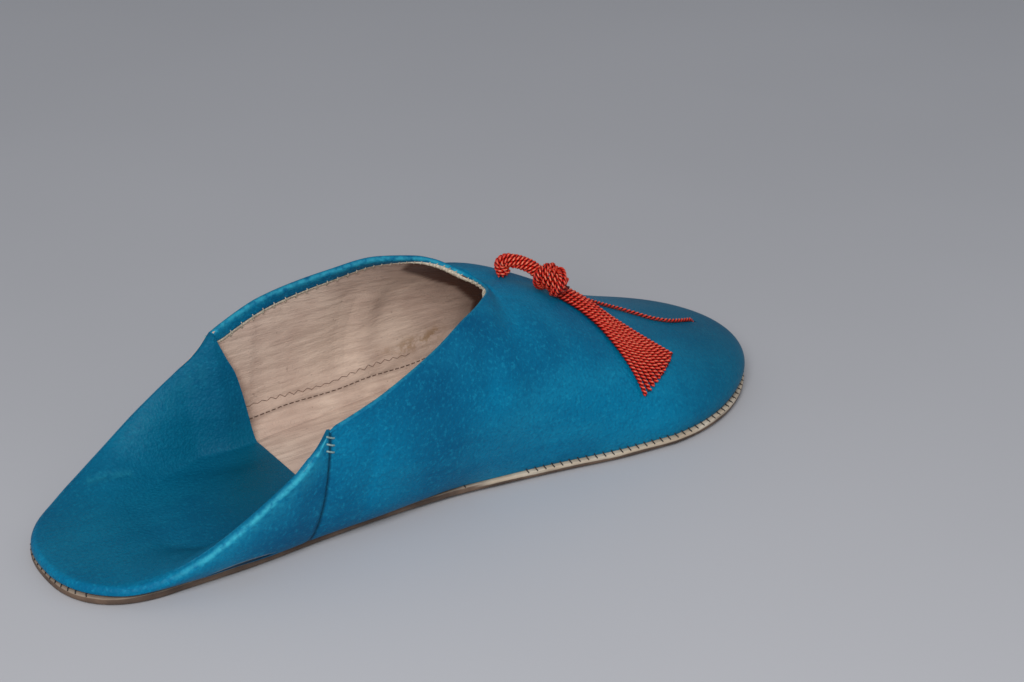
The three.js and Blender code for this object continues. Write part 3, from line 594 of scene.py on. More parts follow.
def eased(rows):
    """Rows beside the throat moved towards the mean of their neighbours, many times over, so that
    the vamp runs on smoothly from the sides. The collar's edge and the spine stay."""
    row = np.arange(len(rows))[:, None]
    column = np.linspace(0, 1, rows.shape[1])[None, :]
    near_throat = bell(row - COLLAR_ROWS, EASE_ROWS)
    share = near_throat[1:-1, :, None]
    relaxed = rows.copy()
    for _ in range(EASE_ROUNDS):
        mean = (relaxed[:-2] + relaxed[2:]) / 2
        relaxed[1:-1] += share * (mean - relaxed[1:-1])
    return lerp(rows, relaxed, smooth(1 - column, 0, 0.2)[..., None])


def heel_rows(side, seam_row):
    """The trodden quarter: wall, a quarter round fold at the ridge, and the flap that lies on the
    insole, each row from foot to free edge. The last row folds up into the corner of the collar."""
    share = np.arange(HEEL_ROWS) / HEEL_ROWS
    seam_u = side_share(along(SEAM_FOOT_AT))
    foot = raised(rail(foot_plan(np.linspace(0, seam_u, 500), side))(share), seat)
    ridge_at = rail(ridge_plan(side))
    ridge = ridge_at(share)
    tangent = ridge_at(np.minimum(1, share + 0.01)) - ridge_at(np.maximum(0, share - 0.01))
    normal = unit(np.stack([-side * tangent[:, 1], side * tangent[:, 0]], axis=-1))
    normal[0] = (-1, 0)
    radius = FOLD_RADIUS * np.clip((1 - share) / CORNER_FADE, 0, 1)
    top = raised(ridge, ridge_height(ridge[:, 0]) - radius)
    still = np.zeros(HEEL_ROWS)
    wall = wall_rows(foot, normal, top, share_at(ridge[:, 0]), still, still, WALL_STEPS)
    angle = (np.arange(1, FOLD_STEPS + 1) / FOLD_STEPS * np.pi / 2)[None, :]
    inwards = radius[:, None] * (1 - np.cos(angle))
    fold = raised(ridge[:, None] - normal[:, None] * inwards[..., None],
                  top[:, 2:] + radius[:, None] * np.sin(angle))
    ease = (np.arange(1, FLAP_STEPS + 1) / FLAP_STEPS)[None, :, None] ** FLAP_EASE
    line = np.linspace(0, 1, 400)
    low_x = along(FLAP_EDGE_AT)
    edge_x = lerp(low_x, SEAM_TOP_X, flap_edge["way"](line))
    edge = rail(np.stack([edge_x, side * HALF_COLLAR * flap_edge["across"](line)], axis=-1))(share)
    flap = raised(lerp(fold[:, -1:, :2], edge[:, None], ease), flap_height)
    rows = np.concatenate([wall, fold, flap], axis=1)
    corner = np.repeat(seam_row[-1:], FOLD_STEPS + FLAP_STEPS, axis=0)
    return np.concatenate([rows, np.concatenate([seam_row, corner])[None]])


def grid_faces(rows, columns, start=0, flip=False, around=False):
    """Triangles of a grid of points, two to a cell. With around, the last column joins the first."""
    row = np.arange(rows - 1)[:, None] * columns + start
    column = np.arange(columns if around else columns - 1)[None, :]
    after = (column + 1) % columns
    a, b = row + column, row + columns + column
    c, d = row + columns + after, row + after
    faces = np.concatenate([np.stack([a, b, c], -1).reshape(-1, 3), np.stack([a, c, d], -1).reshape(-1, 3)])
    return faces[:, ::-1] if flip else faces


def welded(points, faces, *values):
    """Points closer than a tenth of a micron become one, and faces that lose a corner go."""
    keys = np.round(points * 1e4).astype(np.int64)
    _, first, inverse = np.unique(keys, axis=0, return_index=True, return_inverse=True)
    faces = inverse.reshape(-1)[faces]
    a, b, c = faces.T
    kept = faces[(a != b) & (b != c) & (c != a)]
    return (points[first], kept, *(value[first] for value in values))


def point_normals(points, faces):
    """Normal at each point: the sum of its faces' normals, each weighted by its area."""
    a, b, c = (points[faces[:, k]] for k in range(3))
    cross = np.cross(b - a, c - a)
    index = faces.ravel()
    total = [np.bincount(index, np.repeat(cross[:, k], 3), len(points)) for k in range(3)]
    return unit(np.stack(total, axis=-1))


def nearest(points, line, block=400):
    """Distance from each point to the closest point of a line, and which that is. The closest one
    has the smallest sum of its own square and minus twice the product of both."""
    own = (line * line).sum(axis=1)[None]
    starts = range(0, len(points), block)
    index = np.concatenate([(own - 2 * points[s:s + block] @ line.T).argmin(axis=1) for s in starts])
    return np.linalg.norm(points - line[index], axis=1), index


def shell(points, faces, outward, outer, inner):
    """A closed wall around a surface: one layer at an offset along the outward directions, one
    further in and turned round, and a strip between them along every open edge."""
    count = len(points)
    both = np.concatenate([points - outward * outer[:, None], points - outward * inner[:, None]])
    edges = np.concatenate([faces[:, [0, 1]], faces[:, [1, 2]], faces[:, [2, 0]]])
    key = edges[:, 0] * count + edges[:, 1]
    twin = edges[:, 1] * count + edges[:, 0]
    a, b = edges[~np.isin(key, twin)].T
    strip = np.concatenate([np.stack([a, a + count, b + count], -1), np.stack([a, b + count, b], -1)])
    return both, np.concatenate([faces, faces[:, ::-1] + count, strip])


class Surface:
    """A surface that other pieces are laid on, with its points and normals."""

    def __init__(self, points, normals):
        self.points = points
        self.normals = normals

    def lay(self, points, lift=0.0):
        """Moves points along the normal of the closest surface point onto its tangent plane, then
        off it by lift. Returns the points and those normals."""
        flat = points.reshape(-1, 3)
        _, index = nearest(flat, self.points)
        normal = self.normals[index]
        height = np.einsum("ij,ij->i", flat - self.points[index], normal)
        laid = flat + normal * (np.broadcast_to(lift, points.shape[:-1]).reshape(-1) - height)[:, None]
        return laid.reshape(points.shape), normal.reshape(points.shape)

    def drop(self, plan, lift=0.0):
        """Plan points dropped onto the tangent plane of the closest surface point in plan, then
        lifted off along its normal."""
        flat = plan.reshape(-1, 2)
        _, index = nearest(flat, self.points[:, :2])
        normal = self.normals[index]
        away = flat - self.points[index, :2]
        z = self.points[index, 2] - np.einsum("ij,ij->i", away, normal[:, :2]) / normal[:, 2]
        laid = raised(flat, z) + normal * np.broadcast_to(lift, plan.shape[:-1]).reshape(-1)[:, None]
        return laid.reshape(*plan.shape[:-1], 3), normal.reshape(*plan.shape[:-1], 3)


def axes_of(paths, ups):
    """Two directions square to each step of a path: one across, and one on the side of ups."""
    tangent = unit(np.gradient(paths, axis=-2))
    across = unit(np.cross(tangent, ups))
    return across, np.cross(across, tangent)


def turned(angle, across, over):
    """The direction at an angle from across towards over."""
    return np.cos(angle) * across + np.sin(angle) * over


def cap_faces(rows, columns):
    """Triangles that close both ends of a grid of rings, with the two points that come after it."""
    k = np.arange(columns)
    after = (k + 1) % columns
    last = (rows - 1) * columns
    middle = np.full(columns, rows * columns)
    return np.concatenate([
        np.stack([middle, k, after], -1),
        np.stack([middle + 1, last + after, last + k], -1),
    ])


def tubes(paths, ups, radius, sides):
    """Closed round tubes along many paths at once: a ring of points in the plane across each step,
    and a point at the middle of each end. Paths is tubes by steps by three."""
    count, steps = paths.shape[:2]
    across, over = axes_of(paths, ups)
    angle = (np.arange(sides) / sides * 2 * np.pi)[None, None, :, None]
    rings = paths[:, :, None] + radius * turned(angle, across[:, :, None], over[:, :, None])
    points = np.concatenate([rings.reshape(count, -1, 3), paths[:, :1], paths[:, -1:]], axis=1)
    one = np.concatenate([grid_faces(steps, sides, around=True), cap_faces(steps, sides)])[:, ::-1]
    step = np.arange(count)[:, None, None] * points.shape[1]
    return points.reshape(-1, 3), (one[None] + step).reshape(-1, 3)


PLIES = 2
PLY_SIDES = 7
PLY_OVERLAP = 1.06


def twisted(paths, ups, diameter, pitch, phase=0.0):
    """Cords of plies twisted together: each ply winds round the path as a helix a quarter of the
    diameter off it. Also gives each point's distance from its path as a share of the radius, less
    on the flanks and below, where the yarn lies in shade."""
    count, steps = paths.shape[:2]
    across, over = axes_of(paths, ups)
    stride = np.linalg.norm(np.diff(paths, axis=1), axis=2)
    way = np.concatenate([np.zeros((count, 1)), np.cumsum(stride, axis=1)], axis=1)
    shift = np.broadcast_to(phase, (count,))[:, None]
    parts = []
    offset = diameter / 4
    for ply in range(PLIES):
        angle = (way / pitch + ply / PLIES + shift)[..., None] * 2 * np.pi
        line = paths + offset * turned(angle, across, over)
        points, faces = tubes(line, ups, offset * PLY_OVERLAP, PLY_SIDES)
        rings = points.reshape(count, -1, 3)[:, :steps * PLY_SIDES].reshape(count, steps, PLY_SIDES, 3)
        away = (rings - paths[:, :, None]) / (diameter / 2)
        rise = np.einsum("ijkl,ijl->ijk", away, over)
        out = np.linalg.norm(away, axis=-1) - 0.3 * (1 - smooth(rise, -0.3, 0.7))
        ends = np.zeros((count, 2))
        parts.append((points, faces, np.concatenate([out.reshape(count, -1), ends], axis=1).ravel()))
    return joined(parts)


def joined(parts):
    """Several meshes as one: their points, faces and values one after another."""
    start = np.cumsum([0] + [len(part[0]) for part in parts[:-1]])
    points = np.concatenate([part[0] for part in parts])
    faces = np.concatenate([part[1] + first for part, first in zip(parts, start)])
    return (points, faces, *(np.concatenate(column) for column in list(zip(*parts))[2:]))


def evenly(points, spacing):
    """A line read again at even steps of about one spacing."""
    length = np.linalg.norm(np.diff(points, axis=0), axis=1).sum()
    return rail(points)(np.linspace(0, 1, max(2, round(length / spacing)) + 1))


def make_piece(name, points, faces, material, slot, replaced=(), values=None, sharp=50):
    """Puts a mesh in millimetres into the scene, in metres, riding on the shoe."""
    mesh = bpy.data.meshes.new(name)
    mesh.from_pydata((points * MM).tolist(), [], faces.tolist())
    for key, value in (values or {}).items():
        mesh.attributes.new(key, "FLOAT", "POINT").data.foreach_set("value", value.astype(np.float32))
    mesh.polygons.foreach_set("use_smooth", np.ones(len(faces), bool))
    mesh.set_sharp_from_angle(angle=math.radians(sharp))
    mesh.materials.append(material)
    mesh.update()
    piece = bpy.data.objects.new(name, mesh)
    bpy.context.scene.collection.objects.link(piece)
    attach(piece, "root")
    if replaced:
        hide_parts(*replaced)
    return piece


def capsule(points, start, end, width):
    """1 on a line from start to end, falling off as a bell curve of that width around it."""
    start, end = np.array(start, float), np.array(end, float)
    way = end - start
    t = np.clip((points - start) @ way / (way @ way), 0, 1)
    return bell(np.linalg.norm(points - start - t[:, None] * way, axis=1), width)


def marks(points, *table):
    """Several soft lines added up, each times its strength."""
    return sum(strength * capsule(points, start, end, width) for start, end, width, strength in table)


def from_hole(points):
    """Distance in plan from the hole at the toe."""
    return np.hypot(points[:, 0] - along(TOE_HOLE[0]), points[:, 1] - HALF_BALL * TOE_HOLE[1])


def shoe_place(place):
    """Millimetres of a place given as shares of length, ball half width and instep height."""
    at, across, high = place
    return (along(at), HALF_BALL * across, INSTEP_HEIGHT * high)


def lifted_edge(points, step):
    """1 in the low crescent where the near wall of the heel has come off the sole: a lens whose
    height is a parabola along the shoe."""
    x, y, z = points.T
    share = np.clip((x - along(LIFT_FROM_AT)) / (along(LIFT_TO_AT) - along(LIFT_FROM_AT)), 0, 1)
    half = LIFT_HEIGHT / 2 * 4 * share * (1 - share)
    middle = seat(x, y) + 0.5 + LIFT_HEIGHT / 2
    gap = np.abs(z - middle) / np.maximum(half, 1e-6)
    return np.where((y < 0) & (step < 0.7) & (half > 0), 1 - smooth(gap, 0.75, 1.15), 0)


# Around the throat's tip the outward directions are turned upright
THROAT_TIP = np.array([along(0.605), 0, 55.3])
THROAT_TIP_WIDTH = 4.5


def outer_skin(relief):
    """The upper's outer surface with its creases: points, faces and outward directions. Then for
    each point its step along its row, which is 0 to 1 on the wall, 2 after the fold and 3 at the
    flap's edge, its row, and how far the leather is squeezed at the side seam."""
    parts = []
    fade = np.clip((1 - np.arange(HEEL_ROWS + 1) / HEEL_ROWS) / CORNER_FADE, SQUEEZED, 1)
    steps = np.concatenate([
        np.linspace(0, 1, WALL_STEPS + 1),
        1 + np.arange(1, FOLD_STEPS + 1) / FOLD_STEPS,
        2 + np.arange(1, FLAP_STEPS + 1) / FLAP_STEPS,
    ])
    for side in (NEAR, FAR):
        front = front_rows(side)
        heel = heel_rows(side, front[0])
        for rows, first, length in ((heel, 0, HEEL_ROWS), (front, 1, COLLAR_ROWS)):
            count, columns = rows.shape[:2]
            along_row = np.broadcast_to(steps[:columns], (count, columns)).ravel()
            row = first + np.repeat(np.arange(count) / length, columns)
            squeeze = np.repeat(fade, columns) if first == 0 else np.where(row == 1, SQUEEZED, 1)
            squeeze = lerp(1, squeeze, smooth(along_row, 0.8, 0.97))
            faces = grid_faces(count, columns, flip=side == FAR)
            parts.append((rows.reshape(-1, 3), faces, along_row, row, squeeze))
    points, faces, step, row, squeeze = welded(*joined(parts))
    normals = point_normals(points, faces)
    creases = ((shoe_place(start), shoe_place(end), width, deep) for start, end, width, deep in CREASES)
    x, y = points[:, 0], points[:, 1]
    swell = np.sin(x / 7.3 + 1.4 * np.sin(y / 9.1)) * np.sin(y / 6.4 + 0.8)
    depth = relief * (marks(points, *creases) + FLAP_SWELL * smooth(step, 2, 2.3) * swell)
    depth += HOLE_DEPTH * bell(from_hole(points), 0.9)
    depth += LIFT_DEPTH * lifted_edge(points, step)
    fixed = smooth(step, 0, 0.06) * np.where(step > 2, smooth(3 - step, 0, 0.02), 1)
    points = points - normals * (depth * fixed)[:, None]
    outward = point_normals(points, faces)
    tip = bell(np.linalg.norm(points - THROAT_TIP, axis=1), THROAT_TIP_WIDTH)
    outward = unit(lerp(outward, UP, smooth(tip, 0.1, 0.6)[:, None]))
    foot = step == 0
    outward[foot] = unit(outward[foot] * np.array([1, 1, 0]))
    corner = (row == 1) & (step == 1)
    side = np.sign(points[corner, 1:2])
    outward[corner] = turned(CORNER_TURN, side * np.array([0, 1, 0]), UP)
    return points, faces, outward, step, row, squeeze


def collar_edge():
    """The collar's edge from the near corner round the throat to the far corner."""
    near, far = (front_rows(side)[:COLLAR_ROWS + 1, -1] for side in (NEAR, FAR))
    return np.concatenate([near, far[::-1][1:]])


def averaged(grid, window):
    """Each row replaced by the mean of a window of rows around it. The ends keep their own slope."""
    start = 2 * grid[:1] - grid[window:0:-1]
    end = 2 * grid[-1:] - grid[-2:-window - 2:-1]
    total = np.cumsum(np.concatenate([0 * grid[:1], start, grid, end]), axis=0)
    wide = 2 * window + 1
    return (total[wide:] - total[:-wide]) / wide


def edge_strip(surface, edge, spacing, profile, throat_profile):
    """A profile carried along the collar's edge, which goes over to a second one at the throat.
    Each point is a depth down from the edge, along the leather, and a distance in from the
    leather's outer face."""
    line = evenly(edge, spacing)
    window = round(EVEN_OVER / spacing)
    _, normal = surface.lay(line)
    normal = averaged(normal, window)
    tangent = unit(np.gradient(line, axis=0))
    normal = unit(normal - tangent * np.einsum("ij,ij->i", normal, tangent)[:, None])
    down = np.cross(tangent, normal)
    way = np.abs(np.linspace(-1, 1, len(line)))
    share = smooth(way, 0.5, 0.1)[:, None, None]
    section = lerp(np.array(profile, float)[None], np.array(throat_profile, float)[None], share)
    depth, inwards = section[..., :1], section[..., 1:]
    base = line[:, None] + down[:, None] * depth
    laid, laid_normal = surface.lay(base)
    laid_normal = averaged(laid_normal, window)
    sunk = smooth(depth, 0.05, 1)
    base = lerp(base, averaged(laid, window), sunk)
    out = unit(lerp(np.broadcast_to(normal[:, None], base.shape), laid_normal, sunk))
    return base - out * inwards, out


def closed_loft(grid):
    """A grid of closed sections as a solid with flat ends."""
    ends = [grid[:1].mean(axis=1), grid[-1:].mean(axis=1)]
    faces = np.concatenate([grid_faces(*grid.shape[:2], around=True), cap_faces(*grid.shape[:2])])
    return np.concatenate([grid.reshape(-1, 3), *ends]), faces[:, ::-1]


BAND_DEPTH = 4.0
EVEN_OVER = 2.1
BAND_PROFILE = (
    (0.35, 0.1), (0.1, -0.06), (-0.15, 0.1), (-0.38, 0.5), (-0.42, 0.95), (-0.28, 1.45), (0.1, 1.82),
    (0.7, 1.98), (1.5, 2.0), (2.5, 2.0), (3.4, 1.97), (3.85, 1.88), (BAND_DEPTH, 1.6),
    (3.9, 1.3), (2.0, 1.2), (0.6, 1.1), (0.35, 0.6),
)
BAND_AT_THROAT = (
    (0.35, 0.1), (0.1, -0.06), (-0.15, 0.1), (-0.38, 0.4), (-0.42, 0.7), (-0.36, 1.0), (-0.2, 1.3),
    (0, 1.5), (0.2, 1.62), (0.45, 1.7), (0.7, 1.7), (0.9, 1.65), (1.0, 1.55),
    (0.9, 1.4), (0.6, 1.25), (0.4, 1.0), (0.35, 0.6),
)
LIP_PROFILE = (
    (3.7, 1.35), (3.95, 1.78), (4.35, 1.86), (4.8, 1.8), (5.05, 1.6), (5.0, 1.4), (4.4, 1.3),
)
LIP_AT_THROAT = (
    (0.5, 1.3), (-0.2, 1.3), (-0.42, 1.6), (-0.42, 2.1), (-0.2, 2.45), (0.6, 2.5), (1.0, 2.0),
)
STITCH_PROFILE = ((3.1, 1.9), (3.45, 2.18), (4.0, 2.3), (4.6, 2.2), (5.1, 1.95), (5.35, 1.6))
STITCH_AT_THROAT = ((-0.3, 0.9), (-0.52, 1.15), (-0.58, 1.5), (-0.56, 2.0), (-0.36, 2.45), (0, 2.6))


def plate(margin, bottom, top, rounding):
    """A plate that follows the sole: rings of points from the middle line out to the edge on each
    face, and a rounded side between them. Each point's level goes from 0 above to 1 below."""
    us = np.concatenate([
        np.linspace(0, 1, 41), np.linspace(1, 2, 71)[1:], np.linspace(2, 3, 51)[1:],
    ])
    shares = np.array([0, 0.15, 0.3, FLAT_SHARE, 0.55, 0.64, 0.72, 0.8, 0.87, 0.94, 1])
    turn = np.linspace(0, np.pi, 7)[1:-1]
    parts = []
    for side in (NEAR, FAR):
        edge = edge_point(us, side) - edge_normal(us, side) * margin
        inner = edge - edge_normal(us, side) * rounding
        hub = raised(np.clip(edge_point(us, side)[:, :1], HEEL_ARC_X, TOE_ARC_X), 0)
        disc = lerp(hub[:, None], inner[:, None], shares[None, :, None])
        bow = lerp(inner[:, None], edge[:, None], (np.sin(turn) ** 0.7)[None, :, None])
        high, low = (face(bow[..., 0], bow[..., 1]) for face in (top, bottom))
        rim = raised(bow, lerp(high, low, (1 - np.cos(turn)) / 2))
        grid = np.concatenate([raised(disc, top), rim, raised(disc, bottom)[:, ::-1]], axis=1)
        rows, columns = grid.shape[:2]
        level = np.tile(np.linspace(0, 1, columns), rows)
        parts.append((grid.reshape(-1, 3), grid_faces(rows, columns, flip=side == NEAR), level))
    return welded(*joined(parts))


class Paint:
    """One material: short ways to add its nodes, and the colour that is laid down so far."""

    def __init__(self, name):
        self.material = bpy.data.materials.new(name)
        self.material.use_nodes = True
        self.tree = self.material.node_tree
        self.shader = self.tree.nodes["Principled BSDF"]
        self.place = self.add("ShaderNodeTexCoord").outputs["Object"]
        self.colour = None

    def put(self, node, sockets):
        """Gives a node its inputs, each a value or another node's output."""
        for key, value in sockets.items():
            if isinstance(value, bpy.types.NodeSocket):
                self.tree.links.new(value, node.inputs[key])
            else:
                node.inputs[key].default_value = value

    def add(self, kind, sockets=None, **settings):
        """A node with its inputs and settings."""
        node = self.tree.nodes.new(kind)
        for key, value in settings.items():
            setattr(node, key, value)
        self.put(node, sockets or {})
        return node

    def mix(self, share, a, b):
        """Colour a going over to colour b with a share."""
        a, b = (v if isinstance(v, bpy.types.NodeSocket) else (*v[:3], 1) for v in (a, b))
        return self.add("ShaderNodeMix", {0: share, 6: a, 7: b}, data_type="RGBA").outputs[2]

    def coat(self, share, colour):
        """Lays a colour over what is there, with a share."""
        self.colour = self.mix(share, self.colour, colour)

    def ease(self, value, low, high, to_low=0.0, to_high=1.0):
        """A value eased from one range to another."""
        sockets = {"Value": value, "From Min": low, "From Max": high, "To Min": to_low, "To Max": to_high}
        return self.add("ShaderNodeMapRange", sockets, interpolation_type="SMOOTHSTEP").outputs[0]

    def sum(self, operation, a, b):
        return self.add("ShaderNodeMath", {0: a, 1: b}, operation=operation).outputs[0]

    def times(self, a, b):
        return self.sum("MULTIPLY", a, b)

    def plus(self, a, b):
        return self.sum("ADD", a, b)

    def noise(self, scale, detail=3.0, rough=0.5, stretch=(1, 1, 1)):
        """Cloudy noise on object coordinates, stretched along the axes."""
        mapped = self.add("ShaderNodeMapping", {"Vector": self.place, "Scale": stretch}).outputs[0]
        sockets = {"Vector": mapped, "Scale": scale, "Detail": detail, "Roughness": rough}
        return self.add("ShaderNodeTexNoise", sockets).outputs[0]

    def cells(self, scale):
        """Distance to the nearest cell centre, for pebbled grain."""
        return self.add("ShaderNodeTexVoronoi", {"Vector": self.place, "Scale": scale}).outputs[0]

    def value(self, name):
        """A number stored at each point of the mesh."""
        return self.add("ShaderNodeAttribute", attribute_name=name).outputs["Fac"]

    def finish(self, inputs, bump=None):
        """Joins the colour and the other inputs to the shader, and a bump that is given as its
        height, its distance and its strength."""
        if bump:
            sockets = dict(zip(("Height", "Distance", "Strength"), bump))
            inputs["Normal"] = self.add("ShaderNodeBump", sockets).outputs[0]
        self.put(self.shader, {"Base Color": self.colour, **inputs})
        return self.material


def dyed_leather(settings):
    """Dyed goatskin: clouded blue with fine pebbled grain, lighter as a painted highlight on the bent
    ridge, on the flap and on the collar band, darker as painted shade on the trodden flap and towards the
    toe, pale at a cut edge, almost black in a seam, and with painted shade in the lifted crescent's gap and
    in the toe hole."""
    paint = Paint("dyed_leather")
    pebbles = 1 / settings.grain_size
    clouds = paint.ease(paint.noise(22, 4), 0.3, 0.7)
    brushed = paint.ease(paint.noise(60, 3, 0.6, (0.35, 1, 1)), 0.42, 0.72)
    speckle = paint.ease(paint.noise(0.7 * pebbles, 3, 0.7), 0.5, 0.72)
    grain = paint.cells(pebbles)
    # Noise that breaks up the painted highlight
    worn = paint.ease(paint.noise(420), 0.3, 0.6)
    uneven = paint.ease(clouds, 0, 1, 0.75, 1)
    paint.colour = paint.mix(clouds, settings.deep_colour, settings.leather_colour)
    for share, colour in (
        (paint.times(brushed, 0.22), settings.light_colour),
        (paint.times(speckle, 0.4), settings.light_colour),
        (paint.times(paint.ease(grain, 0.5, 0.8), 0.35), settings.deep_colour),
        # Painted highlight on the heel's ridge, on the flap and on the collar band's crest
        (paint.times(paint.value("painted_highlight"), worn), settings.highlight_colour),
        # Painted shade on the flap and towards the tip of the toe
        (paint.times(paint.value("trodden"), uneven), settings.flap_and_toe_shade_colour),
        (paint.value("cut"), settings.cut_colour),
        # Dark side seams, and painted shade in the lifted crescent's gap and in the toe hole
        (paint.value("seam"), settings.seam_and_gap_shade_colour),
    ):
        paint.coat(share, colour)
    pores = paint.plus(paint.times(grain, 0.7), paint.times(paint.noise(2.4 * pebbles, 2, 0.6), 0.6))
    folds = paint.times(paint.noise(210, 3, 0.6, (0.3, 1, 1)), 1.1)
    rough = paint.ease(clouds, 0, 1, settings.roughness + 0.06, settings.roughness - 0.04)
    return paint.finish({"Roughness": rough, "Specular IOR Level": 0.1},
                        (paint.plus(pores, folds), settings.grain_depth, 1))


def lining_leather(settings):
    """Undyed split leather: pale, fibrous along the collar, with painted shade along a crease above the
    insole, a stain beside it, fine brown specks and a painted shadow from the vamp far inside the toe."""
    paint = Paint("lining_leather")
    fibres = paint.ease(paint.noise(420, 4, 0.7, (0.12, 1, 1)), 0.35, 0.7)
    clouds = paint.ease(paint.noise(40, 4, 0.6), 0.35, 0.7)
    specks = paint.ease(paint.noise(700, 2), 0.68, 0.78)
    blots = paint.ease(paint.noise(300, 4, 0.7), 0.42, 0.6)
    paint.colour = paint.mix(clouds, settings.lining_colour, settings.lining_light)
    for share, colour in (
        (paint.times(fibres, 0.38), settings.fibre_colour),
        (paint.times(specks, 0.35), settings.dark_brown_and_crease_shade_colour),
        # Painted shade along the crease above the insole
        (paint.value("crease"), settings.dark_brown_and_crease_shade_colour),
        (paint.times(paint.value("stain"), blots), settings.stain_colour),
        # Painted shadow that the vamp casts on the lining and the insole, darkest far inside the toe
        (paint.value("deep"), settings.vamp_shadow_colour),
    ):
        paint.coat(share, colour)
    height = paint.plus(paint.times(fibres, 0.9), paint.noise(1500, 3, 0.6))
    return paint.finish({"Roughness": 0.82, "Specular IOR Level": 0.25, "Sheen Weight": 0.12},
                        (height, 0.00018, 0.8))


def sole_leather(settings):
    """Thick vegetable-tanned leather: pale at the upper part of its cut edge in front of the waist,
    brown below and behind as painted shade on the edge, and brown and scuffed underneath."""
    paint = Paint("sole_leather")
    clouds = paint.ease(paint.noise(55, 4, 0.6), 0.35, 0.68)
    layers = paint.noise(260, 3, 0.6, (0.3, 0.3, 4))
    pale = paint.mix(clouds, settings.edge_colour, settings.edge_light)
    # Brown: the leather underneath, and painted shade on the lower part of the edge and on the edge behind
    # the waist
    brown = paint.mix(clouds, settings.brown_and_shade_colour, settings.paler_brown_and_shade_colour)
    level = paint.plus(paint.value("level"), paint.times(paint.noise(90, 3, 0.6), 0.05))
    ahead = paint.ease(paint.plus(paint.value("ahead"), paint.times(layers, 0.2)), 0.3, 0.7)
    front = paint.times(ahead, paint.ease(level, 0.515, 0.535, 1, 0))
    top = paint.ease(paint.value("ahead"), 0, 1, 0.3, 0.9)
    top = paint.times(top, paint.ease(level, 0.462, 0.475, 1, 0))
    paint.colour = paint.mix(paint.sum("MAXIMUM", front, top), brown, pale)
    paint.coat(paint.times(paint.ease(layers, 0.45, 0.7), 0.3), settings.brown_and_shade_colour)
    return paint.finish({"Roughness": 0.75}, (paint.plus(layers, paint.noise(900, 3, 0.6)), 0.00015, 0.8))


def cord_yarn(settings):
    """Twisted shiny yarn: painted shade in dark red between the plies and on their flanks and undersides,
    orange red on them, and a painted highlight where a ply stands furthest out."""
    paint = Paint("cord_yarn")
    out = paint.value("out")
    fleck = paint.ease(paint.ease(paint.noise(1400, 2), 0.35, 0.65), 0, 1, 0.5, 0.95)
    # Painted shade between the plies and on their flanks and undersides, and a painted highlight where a
    # ply stands furthest out
    paint.colour = paint.mix(paint.ease(out, 0.55, 0.88), settings.cord_shade_colour, settings.cord_colour)
    paint.coat(paint.times(paint.ease(out, 0.96, 1.03), fleck), settings.cord_highlight_colour)
    return paint.finish({"Roughness": 0.42, "Specular IOR Level": 0.4},
                        (paint.noise(2600, 2), 0.00006, 0.6))


def mottled(name, colour, roughness, darker=0.55, scale=1200, detail=2.0, inputs=None):
    """A plain surface of one colour with a little mottling, such as waxed thread."""
    paint = Paint(name)
    patches = paint.ease(paint.noise(scale, detail), 0.3, 0.7)
    paint.colour = paint.mix(patches, [darker * channel for channel in colour[:3]], colour)
    return paint.finish({"Roughness": roughness, **(inputs or {})})


def colour_property(name, description, default):
    return bpy.props.FloatVectorProperty(
        name=name, description=description, subtype="COLOR", size=3, min=0, max=1, default=default)


def size_property(name, description, default):
    return bpy.props.FloatProperty(
        name=name, description=description, default=default, min=0, unit="LENGTH", precision=5)


class UpperSettings(bpy.types.PropertyGroup):
    deep_colour: colour_property("Deep dye", "Leather where the dye lies deep", shade(0, 88, 130))
    leather_colour: colour_property("Dye", "Main colour of the leather", shade(0, 120, 162))
    light_colour: colour_property("Light dye", "Leather where the dye is thin", shade(28, 158, 196))
    # Colour of the painted highlight on the heel's ridge, the flap and the collar band
    highlight_colour: colour_property("Rubbed dye", "Leather on a bent ridge", shade(70, 200, 220))
    # Colour of the painted shade on the flap and towards the tip of the toe
    flap_and_toe_shade_colour: colour_property("Trodden dye", "Leather under the heel", shade(4, 80, 104))
    cut_colour: colour_property("Cut edge", "Raw edge of the leather", shade(170, 160, 145))
    # Also the colour of the painted shade in the lifted crescent's gap and in the toe hole
    seam_and_gap_shade_colour: colour_property("Seam", "Shaded line of a seam", shade(4, 26, 44))
    grain_size: size_property("Grain", "Width of one pebble of the grain", 0.0009)
    grain_depth: size_property("Grain depth", "Height of the grain", 0.0002)
    roughness: bpy.props.FloatProperty(
        name="Roughness", description="How matt the leather is", default=0.5, min=0, max=1)
    relief: bpy.props.FloatProperty(
        name="Creases", description="Depth of the worn creases", default=1, min=0, max=2, subtype="FACTOR")
    leather_thickness: size_property("Leather", "Thickness of the dyed leather", 0.00075)


class LiningSettings(bpy.types.PropertyGroup):
    lining_colour: colour_property("Lining", "Undyed leather", shade(208, 182, 167))
    lining_light: colour_property("Pale lining", "Undyed leather where it is paler", shade(230, 207, 190))
    fibre_colour: colour_property("Fibres", "Fibres that lie along the lining", shade(150, 122, 108))
    # Colour of the fine specks and the running stitches, and of the painted shade along the crease
    dark_brown_and_crease_shade_colour: colour_property("Crease", "Dirt in the crease above the insole", shade(104, 78, 66))
    stain_colour: colour_property("Stain", "Spot beside the crease", shade(150, 112, 62))
    # Colour of the painted shadow under the vamp
    vamp_shadow_colour: colour_property("Deep lining", "Lining far inside the toe", shade(96, 60, 44))
    band_stitch: colour_property("Whip stitches", "Thread along the collar band", shade(214, 202, 182))


